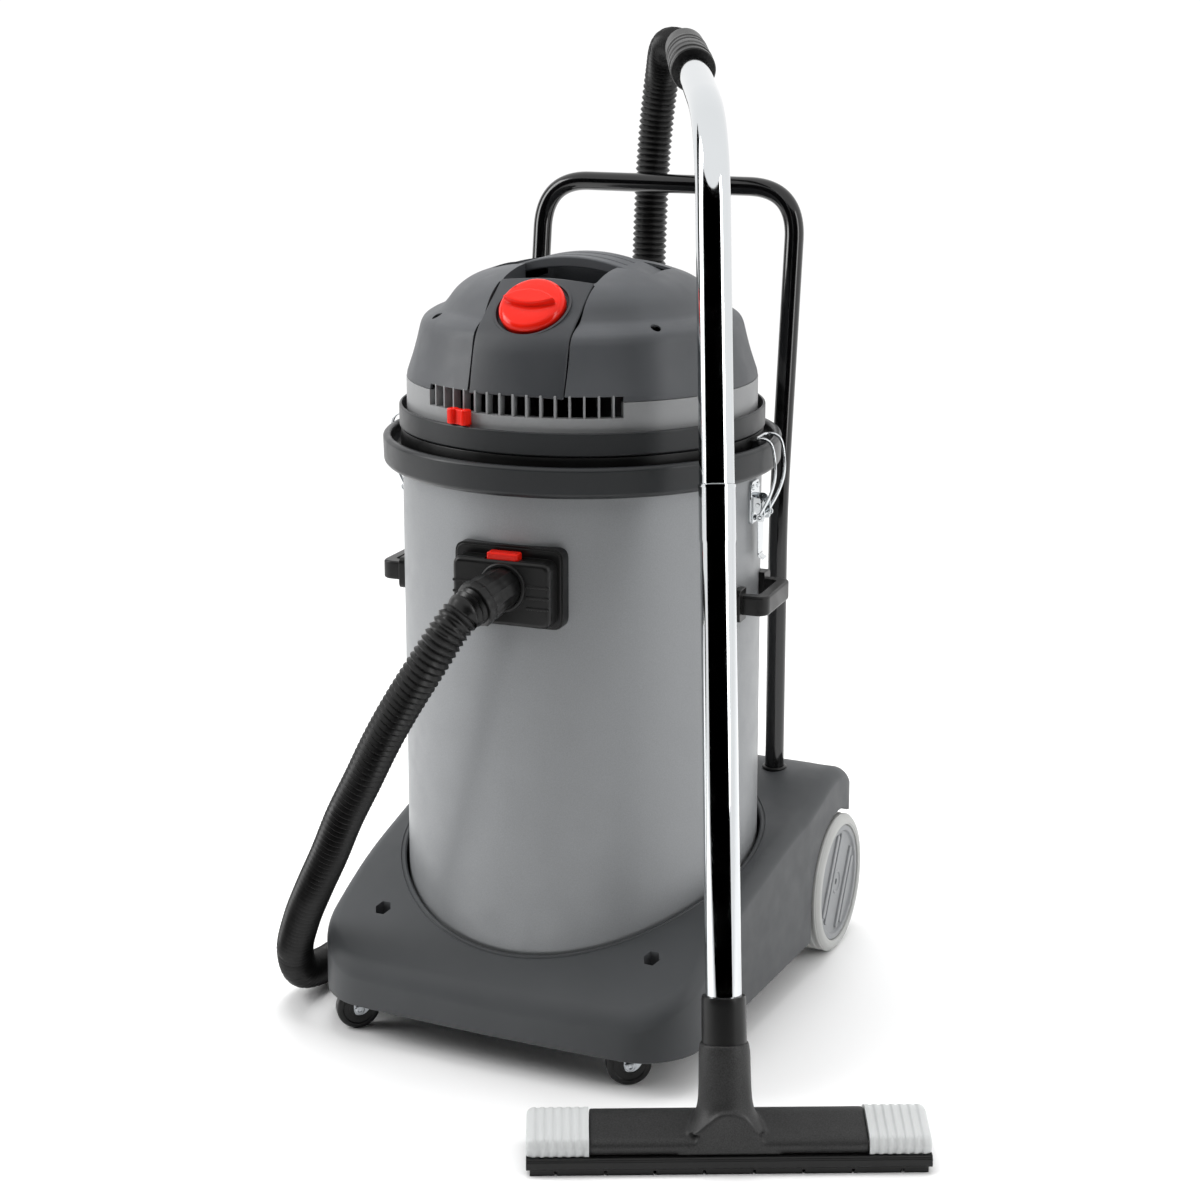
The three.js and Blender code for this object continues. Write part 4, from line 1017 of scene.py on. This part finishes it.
def add_panel():
    top = panel_surface(0.6, 0)
    bottom = panel_surface(0.6, 4)
    rings = [t + list(reversed(b)) for t, b in zip(top, bottom)]
    panel = soften(skin("front_panel_look", rings), 1.6, 4, 50)
    cup = moved(lathe("cup", [(0, -15), (KNOB_R + 7, -15), (KNOB_R + 7, 1.5), (0, 1.5)], 96), on_knob_axis)
    keep = [(y, z) for y, z in PANEL_LINE] + [(-113, 780), (-214.5, 780)]
    carve(cup, prism("behind", keep, -90, 90, "yz"), "INTERSECT")
    carve(panel, cup, "UNION")
    bowl = [(0, -11), (KNOB_R + 4, -11, 1), (KNOB_R + 4, 0, 1), (KNOB_R + 5.5, 5, 2), (KNOB_R + 5.5, 60),
            (0, 60)]
    carve(panel, moved(lathe("bowl", bowl, 96, soft=0.5), on_knob_axis))
    carve(panel, moved(lathe("stem", [(0, -40), (6.5, -40), (6.5, 0), (0, 0)], 32), on_knob_axis))
    dress(panel, "head", "panel_plastic", "front_panel", yaw=True)


def add_knob():
    """A domed red disc with a lens-shaped grip and a small pointer slot."""
    dome = [(0, -9), (KNOB_R - 1, -9, 0.8), (KNOB_R, -8, 0.8), (KNOB_R, 2, 2), (KNOB_R - 4, 7.5, 4),
            (26, 9.4, 20), (0, 10)]
    knob = lathe("switch_knob_look", dome, 96, soft=0.5, steps=6)
    reach, belly = 33, 13
    ts = [k / 16 for k in range(17)]
    upper = [(-reach + 2 * reach * t, belly * 4 * t * (1 - t)) for t in ts]
    lower = [(reach - 2 * reach * t, -belly * 0.7 * 4 * t * (1 - t)) for t in ts[1:-1]]
    grip = soften(prism("grip", upper + lower, 4, 17), 2.2, 5, 25)
    carve(knob, grip, "UNION")
    stem = lathe("stem", [(0, -30), (5.5, -30), (5.5, -8.5), (0, -8.5)], 32)
    slot = prism("slot", rectangle(-4, 4, -1.6, 1.6, 1.5), 7, 14)
    slot = moved(slot, Matrix.Translation((-27, 20, 0)) @ Matrix.Rotation(math.radians(40), 4, "Z"))
    carve(knob, slot)
    merge(knob, stem)
    dress(moved(knob, on_knob_axis), "switch_knob_turning", "red_plastic", "switch_knob", angle=28, yaw=True)


def add_carry_handle():
    """The strap over the finger recess: a shallow arch that ends in the cover's shoulders."""
    ts = [k / 24 for k in range(25)]
    top = [(196 * t - 98, 925 + 94 * t * (1 - t)) for t in ts]
    under = [(88 - 176 * t, 918 + 68 * t * (1 - t)) for t in ts]
    strap = soften(prism("carry_handle_look", top + under, -36, 34, "xz"), 2.5, 4, 50)
    for low, high in ((-19, -13), (7, 13)):
        path = [Vector((x, (low + high) / 2, z + 1.2)) for x, z in top[4:-4]]
        carve(strap, tube("groove", path, 3, 20))
    dress(strap, "head", "cover_plastic", "carry_handle", yaw=True)


def add_catch():
    """A red sliding tab: a foot below the lip and two rounded lobes above it."""
    back = -BAND_R - 0.3
    catch = soften(prism("head_catch_look", rectangle(-12, 12, back - 4, back, 0.5), 753, 771), 0.8)
    merge(catch, soften(prism("bar", rectangle(-14, 14, back - 9, back, 1), RING_TOP + 1, 785.5), 1.6, 4))
    for low, high in ((-14.5, -4), (5, 14.5)):
        lobe = prism("lobe", rectangle(low, high, back - 13.5, back, 4), RING_TOP + 1.2, 786.5)
        merge(catch, soften(lobe, 1.5, 4))
    moved(catch, Matrix.Rotation(math.radians(-18), 4, "Z"))
    dress(catch, "head_catch_sliding", "red_plastic", "head_catch", yaw=True)


def add_gland():
    line = [(4.5, -17), (9, -17), (9, 1), (12.5, 1, 0.8), (12.5, 4, 0.8), (9, 5, 1), (8.4, 10, 1), (8.4, 12),
            (7.6, 13), (7.6, 16), (7, 17), (6.4, 29, 1), (4.5, 29)]
    gland = lathe("cable_gland_look", line, 48, "y", (0, BAND_R, 777), soft=0.4)
    dress(gland, "head", "black_rubber", "cable_gland", yaw=True)


add_head_ring()
add_band()
add_cover()
add_panel()
add_knob()
add_carry_handle()
add_catch()
add_gland()


# ---- wand and floor tool
TOOL_YAW = math.radians(25.6)
TOOL_HALF = 221
TOOL_AT = (340, -356, 0)
tool_place = Matrix.Translation(TOOL_AT) @ Matrix.Rotation(TOOL_YAW, 4, "Z")


def add_wand():
    knee = bend(WAND_FOOT, WAND_KNEE, WAND_TIP, 95, 24)
    upper = tube("wand_upper_tube_look", [on_wand(WAND_JOINT + 0.3), *knee, WAND_TIP], WAND_R, 48)
    dress(upper, "wand", "chrome", "wand_upper_tube")
    heights = [150, *[WAND_JOINT - below for below in (64, 60, 4, 3, 0.5, 0)]]
    radii = [WAND_R, WAND_R, 20.8, 20.8, 21.3, 21.3, 20.6]
    lower = tube("wand_lower_tube_look", [on_wand(z) for z in heights], radii, 48)
    dress(lower, "wand", "chrome", "wand_lower_tube")
    heights = [122, 124, 170, 175, 177.6, 178]
    radii = [24.0, 25.0, 24.6, 24.6, 23.8, 21.2]
    collar = tube("wand_collar_look", [on_wand(z) for z in heights], radii, 64)
    dress(collar, "wand", "black_plastic", "wand_collar")


def tool_section(grow):
    """The floor tool's side view: V runs back from the mouth, Z up."""
    return rounded([(-31 - grow, 21, 1), (-34 - grow, 31, 3), (-29 - grow, 38 + grow, 4), (18, 51 + grow, 9),
                    (36 + grow, 42, 7), (38 + grow, 21, 1)], 4, steps=5)


def add_floor_tool():
    back_turn = Matrix.Rotation(-TOOL_YAW, 3, "Z")
    foot = back_turn @ (on_wand(40) - Vector(TOOL_AT))
    lean = back_turn @ WAND_UP
    body = prism("floor_tool_body_look", tool_section(0), -152, 152, "yz")
    steps = [-2, 3, 8, 13, 18, 24, 32, 44, 84, 86, 92]
    radii = [46, 42, 38.5, 35.5, 33, 31, 29.8, 29.2, 28.4, 27.6, 27.4]
    neck = tube("neck", [foot + lean * d for d in steps], radii, 64)
    carve(neck, block("below", -80, 80, -80, 80, -40, 24))
    carve(neck, block("in_front", -80, 80, -80, -33.5, -50, 300))
    bell = [(u, 20 + 50 * math.exp(-(abs(u) / 35) ** 3)) for u in range(-72, 73, 6)]
    mound = prism("mound", [(-72, 12), *bell, (72, 12)], -33.5, 10, "xz")
    carve(mound, block("low", -80, 80, -60, 60, 0, 21))
    carve(body, mound, "UNION")
    carve(body, neck, "UNION")
    remesh = body.modifiers.new("blend", "REMESH")
    remesh.mode = "VOXEL"
    remesh.voxel_size = 1.8 * MM
    ease = body.modifiers.new("ease", "SMOOTH")
    ease.factor = 0.5
    ease.iterations = 7
    settle(body)
    bore = tube("bore", [foot + lean * 78, foot + lean * 140], 25.3, 48)
    carve(body, bore)
    dress(moved(body, tool_place), "wand", "black_plastic", "floor_tool_body", angle=45)
    body.data.materials[0] = TOOL_PLASTIC

    rings = []
    start, end_r = 152.6, 7
    u = start
    while u < TOOL_HALF - end_r:
        rib = 1.1 if (u - start) % 9.6 < 5.4 else 0.0
        rings.append([(u, v, z) for v, z in tool_section(1.7 + rib)])
        u += 1.2
    for k in range(1, 8):
        a = math.pi / 2 * k / 7
        shrink = end_r * (1 - math.cos(a))
        u = TOOL_HALF - end_r + end_r * math.sin(a)
        narrow, low = 1 - shrink / 42, 1 - shrink / 32
        rings.append([(u, v * narrow, 21 + (z - 21) * low) for v, z in tool_section(2.2)])
    bumper = skin("bumper", rings)
    left = mirrored(bumper, "tool_bumper_left_look")
    bumper.name = "tool_bumper_right_look"
    for side, obj in (("left", left), ("right", bumper)):
        dress(moved(obj, tool_place), "wand", "bumper_clear", f"tool_bumper_{side}", angle=50)

    holder = [(-36, 20.6, 0.5), (-36, 18), (-38, 17), (-38, 9, 1.5), (-36, 7), (40, 7), (42, 9, 1.5),
              (42, 17), (40, 18), (40, 20.6, 0.5)]
    rail = prism("strip_holder_look", rounded(holder, 1), -TOOL_HALF, TOOL_HALF, "yz")
    soften(rail, 1.5, 3, 50)
    carve(rail, prism("mouth", rectangle(-TOOL_HALF + 7, TOOL_HALF - 7, -29, 33, 4), 0, 17))
    for low in (-35.5, 35.5):
        carve(rail, block("groove", -TOOL_HALF + 3, TOOL_HALF - 3, low, low + 4, 0, 16.3))
    dress(moved(rail, tool_place), "wand", "black_plastic", "strip_holder")

    for name, v, notches in (("squeegee_front", -35, range(-189, 190, 54)), ("squeegee_rear", 36, ())):
        section = rectangle(v, v + 3, 0, 16, 0.3, 4)
        strip = prism(f"{name}_look", section, -TOOL_HALF + 4, TOOL_HALF - 4, "yz")
        for u in notches:
            carve(strip, block("notch", u - 1.5, u + 1.5, v - 1, v + 5, -1, 5))
        dress(moved(strip, tool_place), "wand", "black_rubber", name)


add_wand()
add_floor_tool()

# Pieces that the closed machine hides keep their CAD shapes.
for node in ("stub_axle_left", "stub_axle_right", "inlet_deflector", "rotary_switch", "motor_left",
             "motor_right", "motor_rotor_left", "motor_rotor_right", "float_cage", "filter_basket"):
    polish(node, 0.5)
for node in ("float_ball", "button_spring"):
    polish(node, 0)

add_studio()
bpy.context.view_layer.update()
